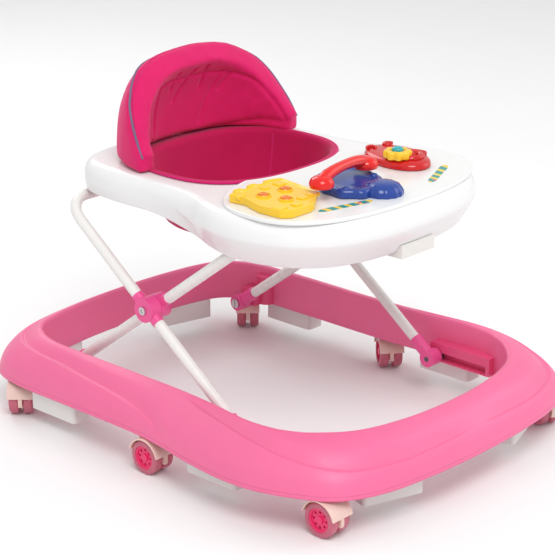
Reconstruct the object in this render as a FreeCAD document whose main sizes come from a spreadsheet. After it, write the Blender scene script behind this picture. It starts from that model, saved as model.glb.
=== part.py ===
import FreeCAD, Part

import math
import os

from Sketcher import Constraint

# Baby walker: a moulded base ring on six twin-wheel casters, a pair of bent
# tubes crossing as a scissor on each side, and a tray that carries the seat,
# the backrest and the toys. Millimetres. +Z is up, the child faces -Y, and the
# origin is on the floor at the middle of the base.

Vector = FreeCAD.Vector
Rotation = FreeCAD.Rotation
Placement = FreeCAD.Placement
X_AXIS = Vector(1, 0, 0)
Y_AXIS = Vector(0, 1, 0)
Z_AXIS = Vector(0, 0, 1)

os.makedirs("parts", exist_ok=True)
doc = FreeCAD.newDocument("BabyWalker")
sheet = doc.addObject("Spreadsheet::Sheet", "Dims")

DIMENSIONS = [
    # base ring: a hollow moulding, open underneath
    ("ring_half_width", 308), ("ring_half_length", 383), ("ring_bottom", 55), ("ring_top", 119),
    ("opening_half_width", 241), ("opening_half_length", 330), ("ring_wall", 3),
    ("seat_plate", 4), ("boss_radius", 12),
    # stop pads under the ring
    ("pad_bottom", 24), ("pad_length", 95), ("pad_width", 34), ("side_pad_x", 257),
    ("front_side_pad_y", -124), ("rear_side_pad_y", 201),
    ("front_pad_x", 142), ("front_pad_y", -329), ("front_pad_turn", -19),
    ("rear_pad_x", 137), ("rear_pad_y", 345), ("rear_pad_turn", -14),
    # casters
    ("wheel_radius", 25), ("wheel_width", 14.5), ("wheel_gap", 7), ("hub_radius", 17.5),
    ("axle_radius", 3), ("axle_recess", 2.3), ("stem_radius", 4.5), ("stem_top", 83), ("trail", 15), ("hood_gap", 1.5),
    ("hood_skin", 2.2), ("running_gap", 0.05),
    ("front_caster_x", 247), ("front_caster_y", -298), ("middle_caster_x", 268),
    ("middle_caster_y", 10), ("rear_caster_x", 247), ("rear_caster_y", 298),
    # scissor frame: equal arms, so the tray stays level all the way down
    ("tube_radius", 8), ("tube_wall", 1.2), ("arm_angle", 37), ("lower_arm", 239.3), ("upper_arm", 210),
    ("foot_height", 64), ("cross_y", 64), ("inner_tube_x", 185), ("outer_tube_x", 205),
    ("bend_radius", 38), ("foot_gap", 12), ("bolt_radius", 3), ("pin_radius", 4),
    ("knuckle_radius", 18), ("knuckle_width", 19.2), ("sleeve_radius", 11), ("foot_radius", 13),
    # slide rack and rear pivot block on the ring's inner wall
    ("rack_face_x", 217.5), ("rack_front_y", -228), ("rack_rear_y", -116), ("rack_low", 55), ("rack_high", 84),
    ("groove_half_height", 6.2), ("groove_depth", 11), ("slider_length", 15), ("slider_height", 12),
    ("slider_depth", 10),
    ("block_face_x", 197), ("block_length", 30), ("block_low", 57), ("block_high", 84), ("post_radius", 15),
    # tray
    ("tray_half_width", 221), ("tray_half_length", 268), ("tray_low", 322), ("tray_widest", 359),
    ("tray_top", 388), ("tray_wall", 2.5), ("rear_skirt_low", 344),
    ("hole_half_width", 143), ("hole_half_length", 114.5), ("hole_y", 78.5), ("hole_power", 2.5),
    ("panel_half_width", 210), ("panel_half_length", 118), ("panel_y", -137), ("panel_top", 394),
    ("panel_power", 2.5), ("panel_margin", 9),
    ("clip_x", 110), ("clip_width", 22), ("clip_length", 30), ("clip_low", 322),
    ("latch_half_width", 35), ("latch_front_y", -259), ("latch_rear_y", -92), ("latch_low", 315),
    ("latch_wall", 3), ("slot_half_height", 8.7), ("slot_front_y", -194), ("lever_travel", 6),
    # seat and backrest
    ("sling_bottom", 290), ("sling_wall", 4), ("leg_hole_radius", 38), ("leg_hole_x", 50),
    ("leg_hole_y", 44), ("back_y", 97), ("back_thickness", 36), ("back_half_width", 166),
    ("back_half_depth", 142), ("back_rise", 166), ("back_power", 2.4), ("dome_power", 3), ("rim_lean", 27.5),
    # toys
    ("castle_x", -135), ("castle_y", -128), ("castle_high", 12), ("button_radius", 8), ("button_travel", 2.5),
    ("button_proud", 3), ("phone_x", -22), ("phone_y", -152), ("phone_high", 13), ("dial_x", -14),
    ("dial_y", -206), ("dial_radius", 29), ("handset_length", 150), ("handset_radius", 11),
    ("snail_x", 122), ("snail_y", -120), ("snail_high", 12), ("gear_x", 100), ("gear_y", -138),
    ("gear_radius", 21), ("gear_high", 12), ("gear_bore", 5),
]
for row, (alias, value) in enumerate(DIMENSIONS, start=1):
    sheet.set(f"A{row}", alias)
    sheet.set(f"B{row}", str(value))
    sheet.setAlias(f"B{row}", alias)
doc.recompute()

nodes = []


def dim(name):
    """A driving dimension, read from the sheet."""
    return float(sheet.get(name))


def bind(thing, **formulas):
    """Ties properties to formulas of the sheet's dimensions, written as {name}."""
    for prop, formula in formulas.items():
        thing.setExpression(prop, formula.replace("{", "Dims.").replace("}", ""))


def named(name, thing):
    """Makes an object one of the walker's pieces."""
    thing.Label = name
    nodes.append(thing)
    return thing


def turned(angle, axis=Z_AXIS):
    return Rotation(axis, angle)


# ---------------------------------------------------------------- solids from the sheet

def block(name, length, width, height, centre, turn=Rotation()):
    """A box whose middle of its lower face is at centre."""
    box = doc.addObject("Part::Box", name)
    bind(box, Length=length, Width=width, Height=height)
    doc.recompute([box])
    corner = Vector(box.Length.Value / 2, box.Width.Value / 2, 0)
    box.Placement = Placement(centre - turn.multVec(corner), turn)
    return box


def rod(name, radius, height, start, axis=Z_AXIS):
    """A cylinder from start along axis."""
    cylinder = doc.addObject("Part::Cylinder", name)
    bind(cylinder, Radius=radius, Height=height)
    cylinder.Placement = Placement(start, Rotation(Z_AXIS, axis))
    return cylinder


def cut(name, base, tool):
    result = doc.addObject("Part::Cut", name)
    result.Base = base
    result.Tool = tool
    return result


def fuse(name, *shapes):
    result = doc.addObject("Part::MultiFuse", name)
    result.Shapes = list(shapes)
    result.Refine = True
    return result


def common(name, *shapes):
    result = doc.addObject("Part::MultiCommon", name)
    result.Shapes = list(shapes)
    return result


def group(name, *solids):
    """Separate identical solids that share one piece name."""
    result = doc.addObject("Part::Compound", name)
    result.Links = list(solids)
    return result


def shaped(name, shape):
    """A free-form solid, made from curves that read the sheet."""
    feature = doc.addObject("Part::Feature", name)
    feature.Shape = shape
    return feature


def plane_sketch(body, role, name):
    sketch = body.newObject("Sketcher::SketchObject", name)
    plane = next(item for item in body.Origin.OriginFeatures if item.Role == role)
    sketch.AttachmentSupport = [(plane, "")]
    sketch.MapMode = "FlatFace"
    return sketch


def fix_point(sketch, index, position, x, y):
    sketch.addConstraint(Constraint("DistanceX", -1, 1, index, position, x))
    sketch.addConstraint(Constraint("DistanceY", -1, 1, index, position, y))


def sketch_polygon(sketch, points):
    """A closed outline of straight lines through the points."""
    count = len(points)
    for index, (x, y) in enumerate(points):
        after = points[(index + 1) % count]
        sketch.addGeometry(Part.LineSegment(Vector(x, y, 0), Vector(*after, 0)), False)
    for index in range(count):
        sketch.addConstraint(Constraint("Coincident", index, 2, (index + 1) % count, 1))
        fix_point(sketch, index, 1, *points[index])


def pad(body, sketch, length, name, midplane=False):
    feature = body.newObject("PartDesign::Pad", name)
    feature.Profile = sketch
    feature.Midplane = midplane
    bind(feature, Length=length)
    return feature


def prism_body(name, role, points, length, midplane=False):
    """A PartDesign body: a straight-sided outline, padded."""
    body = doc.addObject("PartDesign::Body", name)
    sketch = plane_sketch(body, role, name + "_outline")
    sketch_polygon(sketch, points)
    pad(body, sketch, length, name + "_pad", midplane)
    return body


# ---------------------------------------------------------------- smooth closed outlines

def mirrored(half):
    """A whole outline from its +X half, front to rear, as a loop."""
    back_again = [(-x, y) for x, y in reversed(half) if x > 0]
    return [Vector(x, y, 0) for x, y in half] + [Vector(x, y, 0) for x, y in back_again]


def smooth_wire(points, z):
    curve = Part.BSplineCurve()
    curve.interpolate(Points=[Vector(p.x, p.y, z) for p in points], PeriodicFlag=True)
    return Part.Wire([curve.toShape()])


def inset_points(points, inset):
    """The outline moved inwards along its own normals; inset is a number or a function of y."""
    moved = []
    count = len(points)
    for index, point in enumerate(points):
        along = points[(index + 1) % count] - points[index - 1]
        inward = Vector(-along.y, along.x, 0).normalize()
        distance = inset(point.y) if callable(inset) else inset
        moved.append(point + inward * distance)
    return moved


def between(outer, inner, share):
    return [a + (b - a) * share for a, b in zip(outer, inner)]


def loft(wires):
    return Part.makeLoft(wires, True, False)


def prism(points, low, high):
    return Part.Face(smooth_wire(points, low)).extrude(Vector(0, 0, high - low))


def superellipse(half_width, half_length, power, centre_y=0, count=28):
    """A rounded outline between an ellipse and a rectangle."""
    loop = []
    for index in range(count):
        angle = 2 * math.pi * index / count - math.pi / 2
        cosine, sine = math.cos(angle), math.sin(angle)
        x = half_width * math.copysign(abs(cosine) ** (2 / power), cosine)
        y = half_length * math.copysign(abs(sine) ** (2 / power), sine)
        loop.append(Vector(x, centre_y + y, 0))
    return loop


# Half outlines from front to rear, as shares of the half width and half length.
RING_OUTER = [(0, -1.0), (0.33, -0.99), (0.62, -0.955), (0.82, -0.875), (0.925, -0.74), (0.985, -0.60),
              (1.0, -0.45), (0.975, -0.26), (0.935, -0.08), (0.918, 0.10), (0.918, 0.45), (0.915, 0.70),
              (0.865, 0.86), (0.70, 0.955), (0.36, 0.993), (0, 1.0)]
RING_INNER = [(0, -0.98), (0.373, -0.96), (0.685, -0.894), (0.88, -0.776), (0.959, -0.68), (0.988, -0.606),
              (1.0, -0.488), (0.971, -0.306), (0.95, -0.106), (0.946, 0.115), (0.946, 0.52), (0.938, 0.727),
              (0.88, 0.86), (0.747, 0.957), (0.407, 1.006), (0, 1.021)]
TRAY_OUTLINE = [(0, -1.0), (0.385, -0.978), (0.68, -0.895), (0.887, -0.728), (0.986, -0.504), (0.99, -0.317),
                (0.937, -0.168), (0.873, -0.037), (0.842, 0.112), (0.833, 0.336), (0.833, 0.634),
                (0.778, 0.84), (0.611, 0.955), (0.317, 0.996), (0, 1.0)]


def scaled(outline, half_width, half_length):
    return mirrored([(x * half_width, y * half_length) for x, y in outline])


# ---------------------------------------------------------------- base ring

def ring_outlines():
    outer = scaled(RING_OUTER, dim("ring_half_width"), dim("ring_half_length"))
    inner = scaled(RING_INNER, dim("opening_half_width"), dim("opening_half_length"))
    return outer, inner


def ring_crown(outer, inner, drop):
    """The rounded outer skin: it leans in as it rises from the lip to the ridge."""
    bottom, top = dim("ring_bottom"), dim("ring_top")
    rise = top - bottom
    profile = [(0, 0), (0.12, 0), (0.42, 0.11), (0.70, 0.34), (0.90, 0.62), (1.0, 0.88)]
    return loft([smooth_wire(between(outer, inner, share), bottom + rise * level - drop)
                 for level, share in profile])


def ring_shell():
    outer, inner = ring_outlines()
    wall = dim("ring_wall")
    bottom, top = dim("ring_bottom"), dim("ring_top")
    margin = 2 * wall
    crown = ring_crown(outer, inner, 0)
    opening = prism(inner, bottom - margin, top + margin)
    skin_inside = ring_crown(inset_points(outer, wall), inner, wall)
    wall_inside = prism(inset_points(inner, -wall), bottom - margin, top + margin)
    solid = crown.cut(opening)
    return solid, solid.cut(skin_inside.cut(wall_inside))


def pad_places():
    """Middle and turn of each stop pad."""
    places = []
    for side in (-1, 1):
        for along in ("front_side_pad_y", "rear_side_pad_y"):
            places.append((Vector(side * dim("side_pad_x"), dim(along), 0), turned(90)))
        for end, sign in (("front", -1), ("rear", 1)):
            spot = Vector(side * dim(end + "_pad_x"), dim(end + "_pad_y"), 0)
            places.append((spot, turned(-side * sign * abs(dim(end + "_pad_turn")))))
    return places


def caster_places():
    """Name, swivel centre and resting yaw of each caster."""
    front = (dim("front_caster_x"), dim("front_caster_y"))
    middle = (dim("middle_caster_x"), dim("middle_caster_y"))
    rear = (dim("rear_caster_x"), dim("rear_caster_y"))
    return [("front_left", Vector(-front[0], front[1], 0), 0),
            ("front_right", Vector(front[0], front[1], 0), -20),
            ("middle_left", Vector(-middle[0], middle[1], 0), 0),
            ("middle_right", Vector(middle[0], middle[1], 0), -40),
            ("rear_left", Vector(-rear[0], rear[1], 0), -48),
            ("rear_right", Vector(rear[0], rear[1], 0), -47)]


def base_ring():
    """Shell with pad plates and caster sockets under its crown."""
    solid, shell = ring_shell()
    bottom, plate = dim("ring_bottom"), dim("seat_plate")
    long_side, short_side = dim("pad_length"), dim("pad_width")
    for centre, turn in pad_places():
        slab = Part.makeBox(long_side, short_side + 4 * plate, plate)
        slab.Placement = Placement(centre + Vector(0, 0, bottom)
                                   - turn.multVec(Vector(long_side / 2, short_side / 2 + 2 * plate, 0)), turn)
        shell = shell.fuse(slab.common(solid))
    for _, centre, _ in caster_places():
        boss = Part.makeCylinder(dim("boss_radius"), dim("ring_top") - bottom, centre + Vector(0, 0, bottom))
        shell = shell.fuse(boss.common(solid))
    for _, centre, _ in caster_places():
        socket = Part.makeCylinder(dim("stem_radius") + dim("running_gap"),
                                   dim("stem_top") + 1 - bottom, centre + Vector(0, 0, bottom))
        shell = shell.cut(socket)
    named("base_ring", shaped("base_ring", shell.removeSplitter()))


def stop_pads():
    """Rubber feet that grip the floor when a wheel drops over an edge."""
    pads = []
    for index, (centre, turn) in enumerate(pad_places()):
        lower = block(f"pad_block{index}", "{pad_length}", "{pad_width}", "{ring_bottom} - {pad_bottom}",
                      centre + Vector(0, 0, dim("pad_bottom")), turn)
        rounded = doc.addObject("Part::Fillet", f"pad_round{index}")
        rounded.Base = lower
        doc.recompute()
        upright = [number + 1 for number, edge in enumerate(lower.Shape.Edges) if is_upright(edge)]
        rounded.Edges = [(number, 6.0, 6.0) for number in upright]
        pads.append(rounded)
    named("stop_pads", group("stop_pads", *pads))


def is_upright(edge):
    ends = [vertex.Point for vertex in edge.Vertexes]
    return len(ends) == 2 and abs(ends[0].z - ends[1].z) > 1 and (ends[0] - ends[1]).Length - abs(
        ends[0].z - ends[1].z) < 0.01


# ---------------------------------------------------------------- casters

def caster(place, centre, yaw):
    """Hood and axle swivel in the ring; the wheel pair turns on the axle."""
    turn = turned(yaw)
    axle_line = turn.multVec(X_AXIS)
    middle = centre + turn.multVec(Vector(0, -dim("trail"), 0)) + Vector(0, 0, dim("wheel_radius"))
    prefix = f"caster_{place}"
    named(prefix + "_hood", hood(prefix, centre, middle, axle_line, turn))
    named(prefix + "_axle", axle(prefix, middle, axle_line))
    named(prefix + "_tyres", wheel_pair(prefix + "_tyres", tyre, middle, axle_line))
    named(prefix + "_hubs", wheel_pair(prefix + "_hubs", hub, middle, axle_line))


def hood(prefix, centre, middle, axle_line, turn):
    """A half-round fender over both wheels, a web between them, a collar and a stem above."""
    width = "2 * {wheel_width} + {wheel_gap} + 3"
    side_start = middle - axle_line * (dim("wheel_width") + dim("wheel_gap") / 2 + 1.5)
    outer = rod(prefix + "_fender_outer", "{wheel_radius} + {hood_gap} + {hood_skin}", width,
                side_start, axle_line)
    collar = rod(prefix + "_collar", "2 * {stem_radius}", "{ring_bottom} - 1 - 1.6 * {wheel_radius}",
                 centre + Vector(0, 0, 1.6 * dim("wheel_radius")))
    inner = rod(prefix + "_fender_inner", "{wheel_radius} + {hood_gap}", width, side_start, axle_line)
    below = block(prefix + "_fender_below", "3 * {wheel_radius}", "3 * {wheel_radius}", "{wheel_radius} * 1.5",
                  middle - Z_AXIS * 1.25 * dim("wheel_radius"), turn)
    blank = fuse(prefix + "_blank", outer, collar)
    fender = cut(prefix + "_fender", cut(prefix + "_fender_tube", blank, inner), below)
    web_side = dim("wheel_gap") / 2 - 0.5
    web = rod(prefix + "_web", "{wheel_radius} + {hood_gap} + 1", "{wheel_gap} - 1",
              middle - axle_line * web_side, axle_line)
    web_below = block(prefix + "_web_below", "3 * {wheel_radius}", "3 * {wheel_radius}", "{wheel_radius}",
                      middle - Z_AXIS * 1.3 * dim("wheel_radius"), turn)
    arm = cut(prefix + "_arm", web, web_below)
    stem = rod(prefix + "_stem", "{stem_radius}", "{stem_top} - {ring_bottom} + 2",
               centre + Z_AXIS * (dim("ring_bottom") - 2))
    whole = fuse(prefix + "_body", fender, arm, stem)
    bore = rod(prefix + "_bore", "{axle_radius}", width, side_start, axle_line)
    return cut(prefix + "_hood", whole, bore)


def axle(prefix, middle, axle_line):
    """A plain pin that ends inside the hubs' caps."""
    half = dim("wheel_width") + dim("wheel_gap") / 2 - dim("axle_recess")
    return rod(prefix + "_axle", "{axle_radius}", "2 * {wheel_width} + {wheel_gap} - 2 * {axle_recess}",
               middle - axle_line * half, axle_line)


def wheel_pair(name, maker, middle, axle_line):
    wheels = []
    for side in (-1, 1):
        start = middle + axle_line * (side * dim("wheel_gap") / 2)
        wheels.append(maker(f"{name}_{'left' if side < 0 else 'right'}", start, axle_line * side))
    return group(name, *wheels)


def tyre(name, start, axis):
    """A round-shouldered tread ring."""
    body = rod(name + "_tread", "{wheel_radius}", "{wheel_width}", start, axis)
    rounded = doc.addObject("Part::Fillet", name + "_round")
    rounded.Base = body
    doc.recompute()
    rims = [index + 1 for index, edge in enumerate(body.Shape.Edges) if len(edge.Vertexes) == 1]
    rounded.Edges = [(index, 3.5, 3.5) for index in rims]
    hole = rod(name + "_seat", "{hub_radius}", "{wheel_width}", start, axis)
    return cut(name, rounded, hole)


def hub(name, start, axis):
    """A dished disc with eight lightening holes, on the axle."""
    face = start + axis * 1.5
    disc = rod(name + "_disc", "{hub_radius}", "{wheel_width} - 3", face, axis)
    outer_face = start + axis * (dim("wheel_width") - 4)
    dish = rod(name + "_dish", "{hub_radius} - 3", "4", outer_face, axis)
    boss = rod(name + "_boss", "5.5", "{wheel_width} - 2.5", face, axis)
    body = fuse(name + "_body", cut(name + "_dished", disc, dish), boss)
    across = axis.cross(Z_AXIS).normalize()
    tools = [rod(name + "_bore", "{axle_radius} + {running_gap}", "{wheel_width} - 3", start + axis, axis)]
    for index in range(8):
        angle = math.pi * index / 4
        offset = (across * math.cos(angle) + Z_AXIS * math.sin(angle)) * (dim("hub_radius") - 6.5)
        tools.append(rod(f"{name}_hole{index}", "2", "5", outer_face + offset - axis * 3, axis))
    return cut(name, body, fuse(name + "_tools", *tools))


# ---------------------------------------------------------------- scissor frame

def arm_direction(rising_to_front):
    """Unit vector up an arm, from its foot."""
    angle = math.radians(dim("arm_angle"))
    sign = -1 if rising_to_front else 1
    return Vector(0, sign * math.cos(angle), math.sin(angle))


def crossing():
    angle = math.radians(dim("arm_angle"))
    return Vector(0, dim("cross_y"), dim("foot_height") + dim("lower_arm") * math.sin(angle))


def foot(rising_to_front):
    return crossing() - arm_direction(rising_to_front) * dim("lower_arm")


def top_bar(rising_to_front):
    return crossing() + arm_direction(rising_to_front) * dim("upper_arm")


def tube_path(rising_to_front, half_width):
    """Up one leg, round a corner, across the bar and down the other leg."""
    up = arm_direction(rising_to_front)
    bend = dim("bend_radius")
    low = foot(rising_to_front) + up * dim("foot_gap")
    high = top_bar(rising_to_front)
    side, across = Vector(half_width, 0, 0), Vector(half_width - bend, 0, 0)
    slack = bend * (1 - math.sqrt(0.5))
    corner_left = high - side + (X_AXIS - up) * slack
    corner_right = high + side - (X_AXIS + up) * slack
    edges = [Part.LineSegment(low - side, high - side - up * bend),
             Part.Arc(high - side - up * bend, corner_left, high - across),
             Part.LineSegment(high - across, high + across),
             Part.Arc(high + across, corner_right, high + side - up * bend),
             Part.LineSegment(high + side - up * bend, low + side)]
    return Part.Wire([edge.toShape() for edge in edges])


def bent_tube(name, rising_to_front, half_width):
    """A U of round tube, drilled for the crossing bolts."""
    path = shaped(name + "_path", tube_path(rising_to_front, half_width))
    sweeps = []
    for layer, radius in (("outside", "{tube_radius}"), ("inside", "{tube_radius} - {tube_wall}")):
        circle = doc.addObject("Part::Circle", f"{name}_{layer}_circle")
        bind(circle, Radius=radius)
        start = foot(rising_to_front) + arm_direction(rising_to_front) * dim("foot_gap")
        circle.Placement = Placement(start - Vector(half_width, 0, 0),
                                     Rotation(Z_AXIS, arm_direction(rising_to_front)))
        sweep = doc.addObject("Part::Sweep", f"{name}_{layer}")
        sweep.Sections = [circle]
        sweep.Spine = (path, [f"Edge{index}" for index in range(1, 6)])
        sweep.Solid = True
        sweep.Frenet = False
        sweeps.append(sweep)
    hollow = cut(name + "_hollow", *sweeps)
    drill = rod(name + "_drill", "{bolt_radius} + {running_gap}", "{ring_half_width} * 2",
                crossing() - X_AXIS * dim("ring_half_width"), X_AXIS)
    named(name, cut(name, hollow, drill))


def crossing_knuckle(name, side, x_place, rising_to_front):
    """Half of the crossing joint: it grips its tube and turns on the bolt."""
    up = arm_direction(rising_to_front)
    centre = Vector(side * dim(x_place), 0, 0) + crossing()
    half = dim("knuckle_width") / 2
    boss = rod(name + "_boss", "{knuckle_radius}", "{knuckle_width}", centre - X_AXIS * half, X_AXIS)
    sleeve = rod(name + "_sleeve", "{knuckle_width} / 2 - 0.6", "3 * {knuckle_radius}",
                 centre - up * 1.5 * dim("knuckle_radius"), up)
    body = fuse(name + "_body", boss, sleeve)
    tube = rod(name + "_tube_seat", "{tube_radius}", "4 * {knuckle_radius}",
               centre - up * 2 * dim("knuckle_radius"), up)
    hole = rod(name + "_bolt_hole", "{bolt_radius} + {running_gap}", "{knuckle_width}",
               centre - X_AXIS * half, X_AXIS)
    named(name, cut(name, body, fuse(name + "_tools", tube, hole)))


def foot_knuckle(name, side, x_place, rising_to_front):
    """The end fitting of a leg, with the bore for its foot pin."""
    up = arm_direction(rising_to_front)
    centre = Vector(side * dim(x_place), 0, 0) + foot(rising_to_front)
    half = dim("sleeve_radius")
    boss = rod(name + "_boss", "{foot_radius}", "2 * {sleeve_radius}", centre - X_AXIS * half, X_AXIS)
    sleeve = rod(name + "_sleeve", "{sleeve_radius} - 0.6", "3 * {foot_radius}", centre, up)
    body = fuse(name + "_body", boss, sleeve)
    tube = rod(name + "_tube_seat", "{tube_radius}", "4 * {foot_radius}", centre + up * dim("foot_gap"), up)
    hole = rod(name + "_pin_hole", "{pin_radius} + {running_gap}", "2 * {sleeve_radius}",
               centre - X_AXIS * half, X_AXIS)
    named(name, cut(name, body, fuse(name + "_tools", tube, hole)))


def crossing_bolts():
    """One bolt through both tubes on each side, with a domed head outside."""
    bolts = []
    outside = dim("outer_tube_x") + dim("knuckle_width") / 2
    for side in (-1, 1):
        head_at = crossing() + X_AXIS * side * outside
        shank = rod(f"bolt_shank{side}", "{bolt_radius}",
                    "{outer_tube_x} - {inner_tube_x} + {knuckle_width} + 3", head_at, X_AXIS * -side)
        head = rod(f"bolt_head{side}", "2 * {bolt_radius}", "{bolt_radius}", head_at, X_AXIS * side)
        socket = rod(f"bolt_socket{side}", "{bolt_radius}", "{bolt_radius}",
                     head_at + X_AXIS * side * dim("bolt_radius") / 2, X_AXIS * side)
        bolts.append(cut(f"bolt{side}", fuse(f"bolt_body{side}", shank, head), socket))
    named("crossing_bolts", group("crossing_bolts", *bolts))


def frame_tubes():
    bent_tube("front_bar_tube", True, dim("inner_tube_x"))
    bent_tube("rear_bar_tube", False, dim("outer_tube_x"))
    for side, hand in ((-1, "left"), (1, "right")):
        foot_knuckle(f"rear_foot_{hand}", side, "inner_tube_x", True)
        foot_knuckle(f"front_foot_{hand}", side, "outer_tube_x", False)
        crossing_knuckle(f"inner_knuckle_{hand}", side, "inner_tube_x", True)
        crossing_knuckle(f"outer_knuckle_{hand}", side, "outer_tube_x", False)
    crossing_bolts()


# ---------------------------------------------------------------- fittings inside the ring

def slide_rack(hand, side, opening):
    """A grooved rail on the ring's inner wall; the front foot's slider runs in it."""
    name = f"slide_rack_{hand}"
    length = dim("rack_rear_y") - dim("rack_front_y")
    middle_y = (dim("rack_rear_y") + dim("rack_front_y")) / 2
    thickness = dim("opening_half_width") - dim("rack_face_x")
    middle_x = side * (dim("rack_face_x") + thickness / 2)
    rail = block(name + "_rail", "{opening_half_width} - {rack_face_x}", "{rack_rear_y} - {rack_front_y}",
                 "{rack_high} - {rack_low}", Vector(middle_x, middle_y, dim("rack_low")))
    fitted = common(name + "_fitted", rail, opening)
    end_wall = 7
    groove = block(name + "_groove", "{groove_depth} * 2", f"{{rack_rear_y}} - {{rack_front_y}} - {2 * end_wall - 8}",
                   "2 * {groove_half_height}",
                   Vector(side * dim("rack_face_x"), middle_y + 4, dim("foot_height") - dim("groove_half_height")))
    tools = [groove]
    notch_count = 9
    pitch = (length - 4 * end_wall) / (notch_count - 1)
    for index in range(notch_count):
        y = dim("rack_front_y") + 2 * end_wall + pitch * index
        tools.append(block(f"{name}_notch{index}", "5", "4", "4.5",
                           Vector(side * (dim("rack_face_x") + 1), y, dim("rack_low") + 1.8)))
    named(name, cut(name, fitted, fuse(name + "_tools", *tools)))


def slider(hand, side):
    """A block that runs in the rack's groove, with the front foot's pin on it."""
    name = f"slider_{hand}"
    pivot = foot(False)
    inner_face = dim("rack_face_x") + 0.5
    shoe = block(name + "_shoe", "{slider_depth}", "{slider_length}", "{slider_height}",
                 Vector(side * (inner_face + dim("slider_depth") / 2), pivot.y,
                        pivot.z - dim("slider_height") / 2))
    pin = rod(name + "_pin", "{pin_radius}", "{rack_face_x} - {outer_tube_x} + {sleeve_radius} + 2",
              Vector(side * (inner_face + 1), pivot.y, pivot.z), X_AXIS * -side)
    named(name, fuse(name, shoe, pin))


def pivot_block(hand, side, opening):
    """A lug on the ring's inner wall that holds the rear foot's pin, with a round post beside it."""
    name = f"pivot_block_{hand}"
    pivot = foot(True)
    reach = dim("opening_half_width") - dim("block_face_x")
    lug = block(name + "_lug", "{opening_half_width} - {block_face_x}", "{block_length}",
                "{block_high} - {block_low}",
                Vector(side * (dim("block_face_x") + reach / 2), pivot.y - 4, dim("block_low")))
    post = rod(name + "_post", "{post_radius}", "{ring_top} - {block_low} - 14",
               Vector(side * dim("rack_face_x") * 1.04, pivot.y - 4 - dim("block_length") / 2, dim("block_low")))
    fitted = common(name + "_fitted", fuse(name + "_blank", lug, post), opening)
    hole = rod(name + "_hole", "{pin_radius}", "{opening_half_width} - {block_face_x}",
               Vector(side * dim("block_face_x"), pivot.y, pivot.z), X_AXIS * side)
    named(name, cut(name, fitted, hole))


def pivot_screws():
    """The rear feet turn on these shouldered screws."""
    screws = []
    pivot = foot(True)
    inner_end = dim("inner_tube_x") - dim("sleeve_radius") - 0.6
    for side in (-1, 1):
        start = Vector(side * inner_end, pivot.y, pivot.z)
        shank = rod(f"screw_shank{side}", "{pin_radius}", "{block_face_x} - {inner_tube_x} + {sleeve_radius} + 16",
                    start, X_AXIS * side)
        head = rod(f"screw_head{side}", "{pin_radius} + 3.5", "3", start, X_AXIS * -side)
        slot = block(f"screw_slot{side}", "2.4", "1.6", "20",
                     start - X_AXIS * side * 2.4 - Z_AXIS * 10)
        screws.append(cut(f"screw{side}", fuse(f"screw_body{side}", shank, head), slot))
    named("pivot_screws", group("pivot_screws", *screws))


def ring_fittings():
    _, inner = ring_outlines()
    opening = shaped("ring_opening", prism(inner, 0, dim("ring_top") + dim("ring_wall")))
    for side, hand in ((-1, "left"), (1, "right")):
        slide_rack(hand, side, opening)
        slider(hand, side)
        pivot_block(hand, side, opening)
    pivot_screws()


# ---------------------------------------------------------------- tray

def tray_outline():
    return scaled(TRAY_OUTLINE, dim("tray_half_width"), dim("tray_half_length"))


def skirt_tuck(y):
    """How far the skirt's lower edge is tucked in: more under the toy end than beside the seat."""
    share = min(max((y + 60) / 160, 0), 1)
    return 20 - 12 * share


def tray_loft(outline, drop):
    """The tray's outer form: lower edge, widest line, shoulder and flat top."""
    low, widest, top = dim("tray_low"), dim("tray_widest"), dim("tray_top")
    sections = [(low, skirt_tuck), (low + 0.45 * (widest - low), lambda y: 0.45 * skirt_tuck(y)),
                (widest, 0), (top - 9, 3), (top - 2.5, 9), (top, 15)]
    return loft([smooth_wire(inset_points(outline, inset), z - drop) for z, inset in sections])


def hole_outline(grow=0.0):
    return superellipse(dim("hole_half_width") + grow, dim("hole_half_length") + grow,
                        dim("hole_power"), dim("hole_y"))


def skirt_trim():
    """Everything under the skirt's lower edge, which rises beside the seat."""
    low, high = dim("tray_low"), dim("rear_skirt_low")
    reach = dim("tray_half_width") * 1.2
    rise_from, rise_to = -dim("tray_half_length") * 0.2, dim("tray_half_length") * 0.35
    far = dim("tray_half_length") * 1.2
    quarter = (rise_to - rise_from) / 4
    start = Vector(-reach, rise_from, low)
    end = Vector(-reach, rise_to, high)
    curve = Part.BezierCurve()
    curve.setPoles([start, start + Vector(0, 2 * quarter, 0), end - Vector(0, 2 * quarter, 0), end])
    corners = [end, Vector(-reach, far, high), Vector(-reach, far, low - 20), Vector(-reach, rise_from, low - 20),
               start]
    edges = [curve.toShape()] + [Part.LineSegment(a, b).toShape() for a, b in zip(corners, corners[1:])]
    return Part.Face(Part.Wire(edges)).extrude(Vector(2 * reach, 0, 0))


def tray_shell():
    """A deep skirted moulding with the seat hole and a short lip round it."""
    wall, top = dim("tray_wall"), dim("tray_top")
    outline = tray_outline()
    outside = tray_loft(outline, 0)
    inside = tray_loft(inset_points(outline, wall), wall)
    lip = prism(hole_outline(wall), top - 14, top)
    shell = outside.cut(inside).fuse(lip.common(outside)).cut(prism(hole_outline(), 0, top + wall))
    named("tray_shell", shaped("tray_shell", shell.cut(skirt_trim()).removeSplitter()))


def toy_panel():
    """A thin raised plate that wraps round the front of the seat hole."""
    plate = prism(superellipse(dim("panel_half_width"), dim("panel_half_length"), dim("panel_power"),
                               dim("panel_y")), dim("tray_top"), dim("panel_top"))
    around_hole = prism(hole_outline(dim("panel_margin")), dim("tray_top") - 1, dim("panel_top") + 1)
    named("toy_panel", shaped("toy_panel", plate.cut(around_hole)))


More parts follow.
